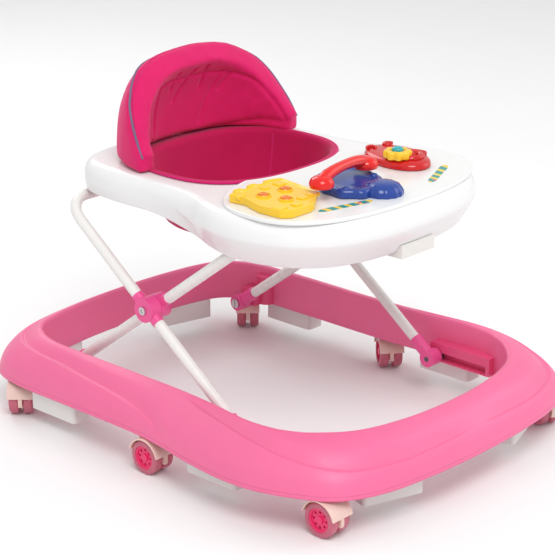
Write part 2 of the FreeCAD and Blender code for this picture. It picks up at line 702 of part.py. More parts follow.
def rear_bar_clips():
    """Two saddles under the tray that turn on the rear bar."""
    bar = top_bar(False)
    clips = []
    for side in (-1, 1):
        saddle = block(f"clip_saddle{side}", "{clip_width}", "{clip_length}",
                       "{tray_top} - {tray_wall} - {clip_low}",
                       Vector(side * dim("clip_x"), bar.y, dim("clip_low")))
        bore = rod(f"clip_bore{side}", "{tube_radius} + {running_gap}", "{clip_width} * 2",
                   Vector(side * dim("clip_x") - dim("clip_width"), bar.y, bar.z), X_AXIS)
        clips.append(cut(f"clip{side}", saddle, bore))
    named("rear_bar_clips", group("rear_bar_clips", *clips))


def latch_housing():
    """A channel under the tray in which the front bar slides as the walker folds."""
    bar = top_bar(True)
    wall, low = dim("latch_wall"), dim("latch_low")
    width, height = "2 * {latch_half_width}", "{tray_top} - {tray_wall} - {latch_low}"
    inside_front = -dim("tray_half_length") + skirt_tuck(-dim("tray_half_length")) + 4 * wall
    length = dim("latch_rear_y") - inside_front
    middle_y = (dim("latch_rear_y") + inside_front) / 2
    outer = block("latch_outer", width, f"{length}", height, Vector(0, middle_y, low))
    inner = block("latch_inner", width + " - 2 * {latch_wall}", f"{length} - 2 * {{latch_wall}}", height,
                  Vector(0, middle_y, low + wall))
    slot_rear = bar.y + dim("slot_half_height") + 0.6
    slot_length = slot_rear - dim("slot_front_y")
    slot = block("latch_slot", "3 * {latch_half_width}", f"{slot_length}", "2 * {slot_half_height}",
                 Vector(0, slot_rear - slot_length / 2, bar.z - dim("slot_half_height")))
    channel = cut("latch_channel", outer, fuse("latch_tools", inner, slot))
    nose_length = inside_front + wall - dim("latch_front_y")
    nose_blank = block("latch_nose_blank", width, f"{nose_length}", "{tray_widest} - 25 - {latch_low}",
                       Vector(0, dim("latch_front_y") + nose_length / 2, low))
    nose = cut("latch_nose", nose_blank, shaped("tray_form", tray_loft(tray_outline(), 0)))
    window = block("latch_window", "2 * ({latch_half_width} - 3 * {latch_wall})", "5 * {latch_wall}",
                   "3 * {latch_wall}", Vector(0, lever_y(), low - wall))
    named("latch_housing", cut("latch_housing", fuse("latch_body", channel, nose), window))


def lever_y():
    """Middle of the lever's window."""
    return dim("slot_front_y") - 5 * dim("latch_wall")


def latch_lever():
    """The pull that frees the front bar, in its window under the tray."""
    play = 1
    grip = block("lever_grip", "2 * ({latch_half_width} - 3 * {latch_wall}) - 1",
                 f"5 * {{latch_wall}} - {{lever_travel}} - {2 * play}", "5 * {latch_wall}",
                 Vector(0, lever_y() + dim("lever_travel") / 2, dim("latch_low") - 2 * dim("latch_wall")))
    named("latch_lever", grip)


# ---------------------------------------------------------------- seat and backrest

def seat_sling():
    """A fabric bucket hung in the hole, with a flat hem on the tray and two leg holes."""
    top, bottom, wall = dim("tray_top"), dim("sling_bottom"), dim("sling_wall")
    width, length, centre = dim("hole_half_width"), dim("hole_half_length"), dim("hole_y")
    power = dim("hole_power")

    def bucket(thickness):
        sections = [(top, 0.997), (top - 45, 0.95), (bottom + 16, 0.84), (bottom, 0.72)]
        return loft([smooth_wire(superellipse(width * share - thickness, length * share - thickness, power,
                                              centre), z + (thickness if z == bottom else 0))
                     for z, share in sections])

    body = bucket(0).cut(bucket(wall))
    hem = prism(hole_outline(5), top, top + 2.5).cut(prism(hole_outline(-wall), top - 1, top + 4))
    rim = prism(hole_outline(-0.4), top - 3, top + 1).cut(prism(hole_outline(-wall), top - 4, top + 2))
    body = body.fuse(hem).fuse(rim)
    for side in (-1, 1):
        spot = Vector(side * dim("leg_hole_x"), dim("leg_hole_y"), bottom - 10)
        body = body.cut(Part.makeCylinder(dim("leg_hole_radius"), 60, spot))
    named("seat_sling", shaped("seat_sling", body.removeSplitter()))


def back_dome(inset):
    """The backrest's domed form, standing on the tray; inset leaves room for the padding."""
    base, rise = dim("tray_top") + 3, dim("back_rise") - inset
    width, depth = dim("back_half_width") - inset, dim("back_half_depth") - inset
    power = dim("dome_power")
    wires = []
    for level in (0, 0.2, 0.4, 0.6, 0.75, 0.87, 0.95):
        share = (1 - level ** power) ** (1 / power)
        outline = superellipse(width * share, depth * share, dim("back_power"), dim("back_y"))
        wires.append(smooth_wire(outline, base + rise * level))
    return loft(wires)


def before_rim():
    """Everything in front of the backrest's rim, which leans back as it rises."""
    base, reach = dim("tray_top") + 3, 2 * dim("back_half_width")
    slope = math.tan(math.radians(dim("rim_lean")))
    corners = [Vector(-reach, dim("back_y") + slope * height, base + height) for height in (-reach, reach)]
    corners += [Vector(-reach, -2 * reach, base + height) for height in (reach, -reach)]
    return Part.Face(Part.makePolygon(corners + corners[:1])).extrude(Vector(2 * reach, 0, 0))


def backrest():
    """A padded clamshell behind the seat: a domed wall cut off by a leaning rim."""
    wall = back_dome(0).cut(back_dome(dim("back_thickness")))
    named("backrest", shaped("backrest", wall.cut(before_rim()).removeSplitter()))


# ---------------------------------------------------------------- toys

CASTLE_OUTLINE = [(-50, 55), (-34, 40), (-10, 52), (12, 40), (52, 54), (46, 8), (44, -30), (-10, -62),
                  (-42, -60), (-58, -22), (-40, 8)]
BUTTON_SPOTS = [(-21, 13), (19, 10), (-12, -20)]


def castle():
    """A battery music box shaped like a tower, with three push buttons."""
    place = Vector(dim("castle_x"), dim("castle_y"), dim("panel_top"))
    body = prism_body("castle_form", "XY_Plane", CASTLE_OUTLINE, "{castle_high}")
    body.Placement = Placement(place, Rotation())
    wells = []
    for index, (x, y) in enumerate(BUTTON_SPOTS):
        wells.append(rod(f"button_well{index}", "{button_radius} + 0.3", "{castle_high}",
                         place + Vector(x, y, 3)))
        button = rod(f"castle_button_{index + 1}", "{button_radius}",
                     "{castle_high} - 3 - {button_travel} - 0.3 + {button_proud}",
                     place + Vector(x, y, 3.3 + dim("button_travel")))
        named(f"castle_button_{index + 1}", button)
    named("castle_toy", cut("castle_toy", body, fuse("button_wells", *wells)))


def phone():
    """A low rounded base with a raised dial, and the handset lying across it."""
    deck = dim("panel_top")
    place = Vector(dim("phone_x"), dim("phone_y"), deck)
    base = prism(superellipse(46, 62, 2.2), 0, dim("phone_high"))
    base.Placement = Placement(place, turned(-38))
    dial = Part.makeCylinder(dim("dial_radius"), dim("phone_high") + 4,
                             Vector(dim("dial_x"), dim("dial_y"), deck))
    cradle_gap = 0.4
    named("phone_base", shaped("phone_base", base.fuse(dial).removeSplitter()))
    handset(Vector(-40, -158, deck + dim("phone_high") + 4 + cradle_gap))


def handset(low_centre):
    """Ear and mouth cups joined by a round grip."""
    name = "handset"
    half = dim("handset_length") / 2
    turn = turned(8)
    along = turn.multVec(X_AXIS)
    radius = dim("handset_radius")
    grip = rod(name + "_grip", "{handset_radius}", "{handset_length} - 4 * {handset_radius}",
               low_centre - along * (half - 2 * radius) + Z_AXIS * (radius + 4), along)
    cups = []
    for side in (-1, 1):
        cups.append(rod(f"{name}_cup{side}", "2 * {handset_radius}", "{handset_radius} + 6",
                        low_centre + along * side * (half - 2 * radius)))
    named(name, fuse(name, grip, *cups))


def snail():
    """A flat shell on the panel with a post for the gear."""
    deck = dim("panel_top")
    place = Vector(dim("snail_x"), dim("snail_y"), deck)
    body = prism(superellipse(40, 62, 2.2), 0, dim("snail_high"))
    body.Placement = Placement(place, turned(-14))
    post = Part.makeCylinder(dim("gear_bore") - dim("running_gap"), dim("snail_high") + dim("gear_high"),
                             Vector(dim("gear_x"), dim("gear_y"), deck))
    named("snail_toy", shaped("snail_toy", body.fuse(post).removeSplitter()))


def gear():
    """A chunky toothed wheel that spins on the snail's post."""
    teeth = 8
    spot = Vector(dim("gear_x"), dim("gear_y"), dim("panel_top") + dim("snail_high") + 0.4)
    disc = rod("gear_disc", "{gear_radius} - 3", "{gear_high}", spot)
    knobs = []
    for index in range(teeth):
        angle = 2 * math.pi * index / teeth
        offset = Vector(math.cos(angle), math.sin(angle), 0) * (dim("gear_radius") - 4)
        knobs.append(rod(f"gear_tooth{index}", "4.5", "{gear_high}", spot + offset))
    bore = rod("gear_hole", "{gear_bore}", "{gear_high}", spot)
    named("spinning_gear", cut("spinning_gear", fuse("gear_body", disc, *knobs), bore))


def stickers():
    """Two thin printed labels let into the panel's top."""
    labels = []
    for index, (x, y, turn) in enumerate([(-92, -206, -14), (112, -203, 24)]):
        disc = doc.addObject("Part::Ellipse", f"sticker_outline{index}")
        disc.MajorRadius = 44
        disc.MinorRadius = 11
        disc.Placement = Placement(Vector(x, y, dim("panel_top")), turned(turn))
        sheet_of_film = doc.addObject("Part::Extrusion", f"sticker{index}")
        sheet_of_film.Base = disc
        sheet_of_film.Dir = Z_AXIS
        sheet_of_film.LengthFwd = 0.6
        sheet_of_film.Solid = True
        labels.append(sheet_of_film)
    named("stickers", group("stickers", *labels))


# ---------------------------------------------------------------- build and write

def build():
    base_ring()
    stop_pads()
    for place, centre, yaw in caster_places():
        caster(place, centre, yaw)
    frame_tubes()
    ring_fittings()
    tray_shell()
    toy_panel()
    rear_bar_clips()
    latch_housing()
    latch_lever()
    seat_sling()
    backrest()
    castle()
    phone()
    snail()
    gear()
    stickers()


def write():
    """Checks every object, then writes each piece."""
    doc.recompute()
    for thing in doc.Objects:
        bad = {"Invalid", "Error"} & set(thing.State)
        assert not bad, f"{thing.Name}: {bad}"
    for piece in nodes:
        assert not piece.Shape.isNull() and piece.Shape.isValid(), piece.Label
        assert piece.Shape.Solids, piece.Label
        piece.Shape.exportStep(f"parts/{piece.Label}.step")
        print(f"{piece.Label}: {len(piece.Shape.Solids)} solids, {piece.Shape.Volume / 1000:.1f} cm3")


build()
write()
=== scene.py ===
import math

import bmesh
import bpy
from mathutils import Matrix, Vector, noise
from mathutils.kdtree import KDTree


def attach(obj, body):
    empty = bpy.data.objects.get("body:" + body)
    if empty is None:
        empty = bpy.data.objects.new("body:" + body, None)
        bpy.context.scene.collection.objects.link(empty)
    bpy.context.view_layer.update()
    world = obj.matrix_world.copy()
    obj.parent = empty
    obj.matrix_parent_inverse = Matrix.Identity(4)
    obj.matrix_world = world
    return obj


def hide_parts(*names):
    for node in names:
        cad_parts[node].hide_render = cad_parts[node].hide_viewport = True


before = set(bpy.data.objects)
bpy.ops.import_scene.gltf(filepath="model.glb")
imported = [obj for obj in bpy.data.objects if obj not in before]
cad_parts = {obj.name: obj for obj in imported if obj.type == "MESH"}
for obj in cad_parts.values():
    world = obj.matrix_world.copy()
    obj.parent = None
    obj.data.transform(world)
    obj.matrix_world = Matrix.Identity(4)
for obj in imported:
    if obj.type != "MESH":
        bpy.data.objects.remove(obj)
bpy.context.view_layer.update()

# The baby walker's visual model. Metres, in the CAD's frame: +Z is up, the
# child faces -Y, and the origin is on the floor at the middle of the base.

MM = 0.001

# The same driving sizes as the CAD's, in millimetres.
RING_HALF = (308, 383)
OPENING_HALF = (241, 330)
RING_LOW, RING_TOP, RING_WALL = 55, 119, 3
TRAY_HALF = (221, 268)
TRAY_LOW, TRAY_WIDEST, TRAY_TOP, SKIRT_REAR_LOW = 322, 359, 388, 344
HOLE_HALF, HOLE_Y, HOLE_POWER = (143, 114.5), 78.5, 2.5
PANEL_HALF, PANEL_Y, PANEL_TOP, PANEL_MARGIN, PANEL_SINK = (210, 118), -137, 394, 9, 1.0
SEAT_BOTTOM = 290
LEG_HOLE_RADIUS, LEG_HOLE_SPOT = 38, (50, 44)
BACK_HALF, BACK_Y, BACK_BASE, BACK_RISE, BACK_THICK = (166, 142), 97, 391, 166, 36
BACK_POWER, DOME_POWER, RIM_LEAN = 2.4, 3, math.radians(27.5)

RING_OUTER = [(0, -1.0), (0.33, -0.99), (0.62, -0.955), (0.82, -0.875), (0.925, -0.74), (0.985, -0.60),
              (1.0, -0.45), (0.975, -0.26), (0.935, -0.08), (0.918, 0.10), (0.918, 0.45), (0.915, 0.70),
              (0.865, 0.86), (0.70, 0.955), (0.36, 0.993), (0, 1.0)]
RING_INNER = [(0, -0.98), (0.373, -0.96), (0.685, -0.894), (0.88, -0.776), (0.959, -0.68), (0.988, -0.606),
              (1.0, -0.488), (0.971, -0.306), (0.95, -0.106), (0.946, 0.115), (0.946, 0.52), (0.938, 0.727),
              (0.88, 0.86), (0.747, 0.957), (0.407, 1.006), (0, 1.021)]
TRAY_OUTLINE = [(0, -1.0), (0.385, -0.978), (0.68, -0.895), (0.887, -0.728), (0.986, -0.504), (0.99, -0.317),
                (0.937, -0.168), (0.873, -0.037), (0.842, 0.112), (0.833, 0.336), (0.833, 0.634),
                (0.778, 0.84), (0.611, 0.955), (0.317, 0.996), (0, 1.0)]


# ---------------------------------------------------------------- curves and meshes

def catmull(a, b, c, d, f):
    """Catmull-Rom between b and c."""
    return 0.5 * (2 * b + (c - a) * f + (2 * a - 5 * b + 4 * c - d) * f ** 2
                  + (3 * b - a - 3 * c + d) * f ** 3)


def on_loop(points, t):
    """The point at parameter t of a smooth closed curve; t counts the points."""
    count = len(points)
    index = math.floor(t)
    near = [points[(index + step) % count] for step in (-1, 0, 1, 2)]
    return catmull(*near, t - index)


def on_path(points, share):
    """The point at a share from 0 to 1 of a smooth open curve."""
    last = len(points) - 1
    place = min(max(share, 0), 1) * last
    index = min(int(place), last - 1)
    near = [points[min(max(index + step, 0), last)] for step in (-1, 0, 1, 2)]
    return catmull(*near, place - index)


def mirrored(half, size):
    """A whole outline, front to rear along +X and back along -X, from its half's shares."""
    right = [Vector((x * size[0], y * size[1])) for x, y in half]
    left = [Vector((-p.x, p.y)) for p in reversed(right) if p.x > 0]
    return right + left


def superellipse(half, power, angle, centre_y=0.0):
    cosine, sine = math.cos(angle), math.sin(angle)
    return Vector((half[0] * math.copysign(abs(cosine) ** (2 / power), cosine),
                   centre_y + half[1] * math.copysign(abs(sine) ** (2 / power), sine)))


def smooth_step(low, high, value):
    share = min(max((value - low) / (high - low), 0), 1)
    return share * share * (3 - 2 * share)


def at(x, y, z):
    return Vector((x, y, z)) * MM


def shade_smooth(mesh, sharp_degrees=None):
    for polygon in mesh.polygons:
        polygon.use_smooth = True
    if sharp_degrees:
        mesh.set_sharp_from_angle(angle=math.radians(sharp_degrees))


def make_piece(name, vertices, faces, material, body, sharp_degrees=None):
    """A mesh piece that rides on a CAD body."""
    mesh = bpy.data.meshes.new(name)
    mesh.from_pydata(vertices, [], faces)
    mesh.validate()
    mesh.update()
    shade_smooth(mesh, sharp_degrees)
    return finish_piece(bpy.data.objects.new(name, mesh), material, body)


def finish_piece(piece, material, body):
    if piece.name not in bpy.context.scene.collection.objects:
        bpy.context.scene.collection.objects.link(piece)
    piece.data.materials.clear()
    piece.data.materials.append(material)
    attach(piece, body)
    return piece


def quad_faces(rows, columns, closed_rows=False, closed_columns=False):
    """Faces of a grid of rows times columns vertices."""
    faces = []
    for row in range(rows if closed_rows else rows - 1):
        for column in range(columns if closed_columns else columns - 1):
            next_row, next_column = (row + 1) % rows, (column + 1) % columns
            faces.append((row * columns + column, row * columns + next_column,
                          next_row * columns + next_column, next_row * columns + column))
    return faces


def outward(piece):
    """Turns all faces outwards."""
    work = bmesh.new()
    work.from_mesh(piece.data)
    bmesh.ops.recalc_face_normals(work, faces=work.faces)
    work.to_mesh(piece.data)
    work.free()


def prism_piece(name, outline, low, high, material, body, bevel=1.5, inset=None, steps=3):
    """A plate with rounded edges; inset = (border, sink) presses its top in behind a rim."""
    work = bmesh.new()
    bottom = [work.verts.new(at(p[0], p[1], low)) for p in outline]
    base = work.faces.new(bottom)
    moved = bmesh.ops.extrude_face_region(work, geom=[base])
    top = [item for item in moved["geom"] if isinstance(item, bmesh.types.BMVert)]
    bmesh.ops.translate(work, verts=top, vec=at(0, 0, high - low))
    bmesh.ops.recalc_face_normals(work, faces=work.faces)
    if inset:
        roof = [face for face in work.faces if face.normal.z > 0.9]
        bmesh.ops.inset_region(work, faces=roof, thickness=inset[0] * MM, depth=-inset[1] * MM)
    mesh = bpy.data.meshes.new(name)
    work.to_mesh(mesh)
    work.free()
    piece = finish_piece(bpy.data.objects.new(name, mesh), material, body)
    rounded = piece.modifiers.new("rounded", "BEVEL")
    rounded.width = bevel * MM
    rounded.segments = steps
    rounded.limit_method = "ANGLE"
    rounded.angle_limit = math.radians(35)
    shade_smooth(mesh)
    tidy = piece.modifiers.new("tidy", "WEIGHTED_NORMAL")
    tidy.keep_sharp = True
    return piece


def tube_piece(name, points, radius, material, body, closed=False, shares=None):
    """A bevelled curve through points; shares scale the radius at each point."""
    data = bpy.data.curves.new(name, "CURVE")
    data.dimensions = "3D"
    data.bevel_depth = radius * MM
    data.bevel_resolution = 4
    data.use_fill_caps = not closed
    data.resolution_u = 8
    spline = data.splines.new("NURBS")
    spline.points.add(len(points) - 1)
    for index, point in enumerate(points):
        spline.points[index].co = (*point, 1)
        if shares:
            spline.points[index].radius = shares[index]
    spline.use_cyclic_u = closed
    spline.use_endpoint_u = not closed
    spline.order_u = 3
    curve = bpy.data.objects.new(name + "_curve", data)
    bpy.context.scene.collection.objects.link(curve)
    bpy.context.view_layer.update()
    mesh = bpy.data.meshes.new_from_object(curve)
    mesh.name = name
    bpy.data.objects.remove(curve)
    bpy.data.curves.remove(data)
    shade_smooth(mesh)
    return finish_piece(bpy.data.objects.new(name, mesh), material, body)


# ---------------------------------------------------------------- materials

def node(tree, kind, **settings):
    made = tree.nodes.new(kind)
    for key, value in settings.items():
        if key in made.inputs:
            made.inputs[key].default_value = value
        else:
            setattr(made, key, value)
    return made


def blank_material(name):
    material = bpy.data.materials.new(name)
    material.use_nodes = True
    return material, material.node_tree, material.node_tree.nodes["Principled BSDF"]


def tinted(tree, colour, change, factor):
    """Mixes a darker and a lighter tone of the colour by a 0-1 output."""
    mix = node(tree, "ShaderNodeMix", data_type="RGBA")
    mix.inputs["A"].default_value = (*[c * (1 - change) for c in colour], 1)
    mix.inputs["B"].default_value = (*[min(c * (1 + change), 1) for c in colour], 1)
    tree.links.new(factor, mix.inputs["Factor"])
    return mix.outputs["Result"]


def plastic(name, colour, roughness, mottle=0.04, scuff=0.05, grain=1400.0, grain_depth=0.03,
            **shader_values):
    """Moulded plastic: soft colour drift, uneven gloss and a fine surface grain."""
    material, tree, shader = blank_material(name)
    place = node(tree, "ShaderNodeTexCoord")
    drift = node(tree, "ShaderNodeTexNoise", Scale=9.0, Detail=3.0)
    tree.links.new(place.outputs["Object"], drift.inputs["Vector"])
    tree.links.new(tinted(tree, colour, mottle, drift.outputs["Fac"]), shader.inputs["Base Color"])
    wear = node(tree, "ShaderNodeTexNoise", Scale=42.0, Detail=5.0, Roughness=0.65)
    tree.links.new(place.outputs["Object"], wear.inputs["Vector"])
    gloss = node(tree, "ShaderNodeMapRange")
    gloss.inputs["From Min"].default_value = 0.3
    gloss.inputs["From Max"].default_value = 0.7
    gloss.inputs["To Min"].default_value = roughness - scuff
    gloss.inputs["To Max"].default_value = roughness + scuff
    tree.links.new(wear.outputs["Fac"], gloss.inputs["Value"])
    tree.links.new(gloss.outputs["Result"], shader.inputs["Roughness"])
    fine = node(tree, "ShaderNodeTexNoise", Scale=grain, Detail=2.0)
    tree.links.new(place.outputs["Object"], fine.inputs["Vector"])
    bump = node(tree, "ShaderNodeBump", Strength=grain_depth * 4, Distance=0.0003)
    tree.links.new(fine.outputs["Fac"], bump.inputs["Height"])
    tree.links.new(bump.outputs["Normal"], shader.inputs["Normal"])
    for key, value in shader_values.items():
        shader.inputs[key.replace("_", " ")].default_value = value
    return material


def printed(name, ground, stripe, spot):
    """A glossy printed film: a wavy stripe and scattered spots on a dark ground."""
    material, tree, shader = blank_material(name)
    place = node(tree, "ShaderNodeTexCoord")
    wave = node(tree, "ShaderNodeTexWave", Scale=16.0, Distortion=4.0, Detail=1.0)
    tree.links.new(place.outputs["Object"], wave.inputs["Vector"])
    cells = node(tree, "ShaderNodeTexVoronoi", Scale=70.0)
    tree.links.new(place.outputs["Object"], cells.inputs["Vector"])
    colours = node(tree, "ShaderNodeValToRGB")
    colours.color_ramp.elements[0].position = 0.62
    colours.color_ramp.elements[0].color = (*ground, 1)
    colours.color_ramp.elements[1].position = 0.72
    colours.color_ramp.elements[1].color = (*stripe, 1)
    tree.links.new(wave.outputs["Fac"], colours.inputs["Fac"])
    dots = node(tree, "ShaderNodeValToRGB")
    dots.color_ramp.elements[0].position = 0.18
    dots.color_ramp.elements[0].color = (1, 1, 1, 1)
    dots.color_ramp.elements[1].position = 0.24
    dots.color_ramp.elements[1].color = (0, 0, 0, 1)
    tree.links.new(cells.outputs["Distance"], dots.inputs["Fac"])
    mix = node(tree, "ShaderNodeMix")
    mix.data_type = "RGBA"
    tree.links.new(dots.outputs["Color"], mix.inputs["Factor"])
    tree.links.new(colours.outputs["Color"], mix.inputs["A"])
    mix.inputs["B"].default_value = (*spot, 1)
    tree.links.new(mix.outputs["Result"], shader.inputs["Base Color"])
    shader.inputs["Roughness"].default_value = 0.25
    return material


def metal(name, colour, roughness, streak=260.0):
    """Plated steel with fine turning marks."""
    material, tree, shader = blank_material(name)
    place = node(tree, "ShaderNodeTexCoord")
    marks = node(tree, "ShaderNodeTexNoise", Scale=streak, Detail=4.0, Distortion=1.0)
    tree.links.new(place.outputs["Object"], marks.inputs["Vector"])
    tree.links.new(tinted(tree, colour, 0.12, marks.outputs["Fac"]), shader.inputs["Base Color"])
    gloss = node(tree, "ShaderNodeMapRange")
    gloss.inputs["To Min"].default_value = roughness - 0.08
    gloss.inputs["To Max"].default_value = roughness + 0.10
    tree.links.new(marks.outputs["Fac"], gloss.inputs["Value"])
    tree.links.new(gloss.outputs["Result"], shader.inputs["Roughness"])
    shader.inputs["Metallic"].default_value = 1.0
    return material


def woven(name, colour, thread=0.0011, fuzz=0.35, nap=0.12):
    """Brushed polyester: a fine weave, a soft nap and uneven dye."""
    material, tree, shader = blank_material(name)
    place = node(tree, "ShaderNodeTexCoord")
    turns = []
    for turn in ((0.0, 0.0, math.radians(42)), (math.radians(90), 0.0, math.radians(20))):
        mapping = node(tree, "ShaderNodeMapping")
        mapping.inputs["Rotation"].default_value = turn
        tree.links.new(place.outputs["Object"], mapping.inputs["Vector"])
        wave = node(tree, "ShaderNodeTexWave", Scale=math.pi / (10 * thread), Distortion=0.6, Detail=1.0)
        wave.inputs["Detail Scale"].default_value = 2.0
        tree.links.new(mapping.outputs["Vector"], wave.inputs["Vector"])
        turns.append(wave.outputs["Fac"])
    weave = node(tree, "ShaderNodeMath", operation="MULTIPLY")
    tree.links.new(turns[0], weave.inputs[0])
    tree.links.new(turns[1], weave.inputs[1])
    cloud = node(tree, "ShaderNodeTexNoise", Scale=26.0, Detail=6.0, Roughness=0.6)
    tree.links.new(place.outputs["Object"], cloud.inputs["Vector"])
    tone = node(tree, "ShaderNodeMath", operation="MULTIPLY_ADD")
    tone.inputs[1].default_value = 0.35
    tree.links.new(weave.outputs["Value"], tone.inputs[0])
    tree.links.new(cloud.outputs["Fac"], tone.inputs[2])
    tree.links.new(tinted(tree, colour, nap, tone.outputs["Value"]), shader.inputs["Base Color"])
    fibre = node(tree, "ShaderNodeTexNoise", Scale=700.0, Detail=3.0)
    tree.links.new(place.outputs["Object"], fibre.inputs["Vector"])
    height = node(tree, "ShaderNodeMath", operation="ADD")
    tree.links.new(weave.outputs["Value"], height.inputs[0])
    tree.links.new(fibre.outputs["Fac"], height.inputs[1])
    bump = node(tree, "ShaderNodeBump", Strength=0.35, Distance=0.0005)
    tree.links.new(height.outputs["Value"], bump.inputs["Height"])
    tree.links.new(bump.outputs["Normal"], shader.inputs["Normal"])
    shader.inputs["Roughness"].default_value = 0.85
    shader.inputs["Sheen Weight"].default_value = fuzz
    shader.inputs["Sheen Roughness"].default_value = 0.45
    shader.inputs["Sheen Tint"].default_value = (1.0, 0.45, 0.65, 1)
    shader.inputs["Specular IOR Level"].default_value = 0.25
    return material


def dress(nodes, material):
    """Gives CAD nodes that keep their shape their finish."""
    for name in nodes:
        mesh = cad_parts[name].data
        mesh.materials.clear()
        mesh.materials.append(material)


PINK = plastic("ring_pink", (0.86, 0.15, 0.325), 0.42, mottle=0.05, Subsurface_Weight=0.08)
INNER_PINK = plastic("fitting_pink", (0.74, 0.075, 0.205), 0.36, mottle=0.07)
KNUCKLE_PINK = plastic("knuckle_pink", (0.80, 0.085, 0.29), 0.33, mottle=0.06)
PAD_WHITE = plastic("pad_white", (0.74, 0.72, 0.70), 0.55, mottle=0.05, scuff=0.1)
TUBE_WHITE = plastic("tube_white", (0.80, 0.785, 0.76), 0.28, mottle=0.03, grain=700.0, grain_depth=0.05)
TRAY_WHITE = plastic("tray_white", (0.83, 0.83, 0.83), 0.20, mottle=0.02, scuff=0.04)
PANEL_WHITE = plastic("panel_white", (0.82, 0.83, 0.82), 0.16, mottle=0.03)
LATCH_WHITE = plastic("latch_white", (0.74, 0.72, 0.69), 0.42, mottle=0.05)
HOOD_CREAM = plastic("hood_cream", (0.82, 0.56, 0.50), 0.33, mottle=0.07, Subsurface_Weight=0.1)
GREY = plastic("slider_grey", (0.10, 0.09, 0.10), 0.5, mottle=0.15)
HUB_PINK = plastic("hub_pink", (0.80, 0.035, 0.16), 0.25, mottle=0.08)
TYRE_CLEAR = plastic("tyre_clear", (0.80, 0.22, 0.32), 0.24, mottle=0.12, Transmission_Weight=0.45, IOR=1.42)
STEEL = metal("screw_steel", (0.62, 0.60, 0.60), 0.30)
AXLE = metal("axle_steel", (0.70, 0.70, 0.70), 0.25)
SEAT_CLOTH = woven("seat_fabric", (0.50, 0.006, 0.085))
BACK_CLOTH = woven("backrest_fabric", (0.66, 0.010, 0.125))
BAND_CLOTH = woven("hem_fabric", (0.60, 0.012, 0.14), thread=0.0008)
PIPING = woven("piping_grey", (0.16, 0.13, 0.22), thread=0.0008, nap=0.25)
YELLOW = plastic("castle_yellow", (0.90, 0.56, 0.02), 0.22, mottle=0.06)
ORANGE = plastic("button_orange", (0.72, 0.19, 0.02), 0.25, mottle=0.1)
BLUE = plastic("phone_blue", (0.016, 0.055, 0.30), 0.18, mottle=0.12)
RED = plastic("handset_red", (0.76, 0.012, 0.010), 0.14, mottle=0.06)
SNAIL_RED = plastic("snail_red", (0.60, 0.010, 0.012), 0.16, mottle=0.08)
GEAR_YELLOW = plastic("gear_yellow", (0.93, 0.55, 0.02), 0.22, mottle=0.05)
TEAL = plastic("cap_teal", (0.03, 0.38, 0.40), 0.22, mottle=0.1)
PRINT = printed("sticker_print", (0.02, 0.30, 0.26), (0.90, 0.62, 0.05), (0.75, 0.05, 0.25))


# ---------------------------------------------------------------- base ring

# Creases on each side of the moulding, as (station of the half outline, place
# across the crown from lip to ridge).
SWOOSHES = [
    [(13.6, 0.80), (12.6, 0.68), (11.4, 0.64), (10.3, 0.60), (9.4, 0.46), (8.3, 0.24), (7.5, -0.02)],
    [(7.9, 0.90), (7.3, 0.82), (6.3, 0.75), (5.0, 0.63), (3.7, 0.47), (2.6, 0.37), (1.4, 0.34), (-0.2, 0.40)],
]
CROWN = [Vector(p) for p in ((0, 0.0), (0.0, 0.12), (0.11, 0.42), (0.34, 0.70), (0.62, 0.90), (0.88, 1.0))]
CROWN_START, CROWN_STEPS = 0.18, 64
SWOOSH_DEPTH = 4.2


def swoosh_place(swoosh, station):
    """Where a crease crosses this station, and how deep it is there, or None."""
    if not swoosh[-1][0] < station < swoosh[0][0]:
        return None
    for (high, place_high), (low, place_low) in zip(swoosh, swoosh[1:]):
        if low <= station <= high:
            share = (station - low) / (high - low)
            place = place_low + (place_high - place_low) * share
            ahead, behind = swoosh[0][0] - station, station - swoosh[-1][0]
            return place, smooth_step(0, 0.9, ahead) * smooth_step(0, 0.9, behind)
    return None


def swoosh_sink(station, place):
    """How far the crown sinks behind the creases, in millimetres."""
    sink = 0.0
    for swoosh in SWOOSHES:
        found = swoosh_place(swoosh, station)
        if found:
            step = smooth_step(-0.012, 0.022, place - found[0])
            ease = 1 - smooth_step(0.03, 0.34, place - found[0])
            sink += SWOOSH_DEPTH * found[1] * step * ease
    return sink


def ring_section(outer, inner, station):
    """One cross-section of the ring, from the lip over the crown and down the inner wall, and back inside."""
    across = inner - outer
    width = across.length
    across.normalize()
    rise = RING_TOP - RING_LOW

    def point(along, z):
        spot = outer + across * along
        return at(spot.x, spot.y, z)

    section = [point(3.2, RING_LOW), point(0.8, RING_LOW), point(0.0, RING_LOW + 1.2),
               point(0.0, RING_LOW + 4.6), point(0.7, RING_LOW + 5.8), point(1.6, RING_LOW + 6.6)]
    for step in range(CROWN_STEPS + 1):
        place = step / CROWN_STEPS
        along_crown = CROWN_START + (1 - CROWN_START) * place
        share, level = on_path(CROWN, along_crown)
        ahead = on_path(CROWN, min(along_crown + 0.01, 1)) - on_path(CROWN, along_crown - 0.01)
        normal = Vector((-ahead.y * rise, ahead.x * width)).normalized()
        sink = 0.9 + swoosh_sink(station, place)
        section.append(point(share * width - normal.x * sink, RING_LOW + rise * level - normal.y * sink))
    section += [point(width - 4.0, RING_TOP - 0.8), point(width - 1.4, RING_TOP - 1.8),
                point(width - 0.3, RING_TOP - 4.0), point(width, RING_TOP - 9)]
    section += [point(width, RING_TOP - 20), point(width, RING_LOW + 18), point(width, RING_LOW + 0.8),
                point(width - 0.8, RING_LOW), point(width - 2.4, RING_LOW),
                point(width - RING_WALL, RING_LOW + 0.8), point(width - RING_WALL, RING_TOP - 8)]
    for share, level in reversed(CROWN[1:]):
        along = min(share * width + RING_WALL, width - 2 * RING_WALL)
        section.append(point(along, RING_LOW + rise * level - RING_WALL - 2))
    return section


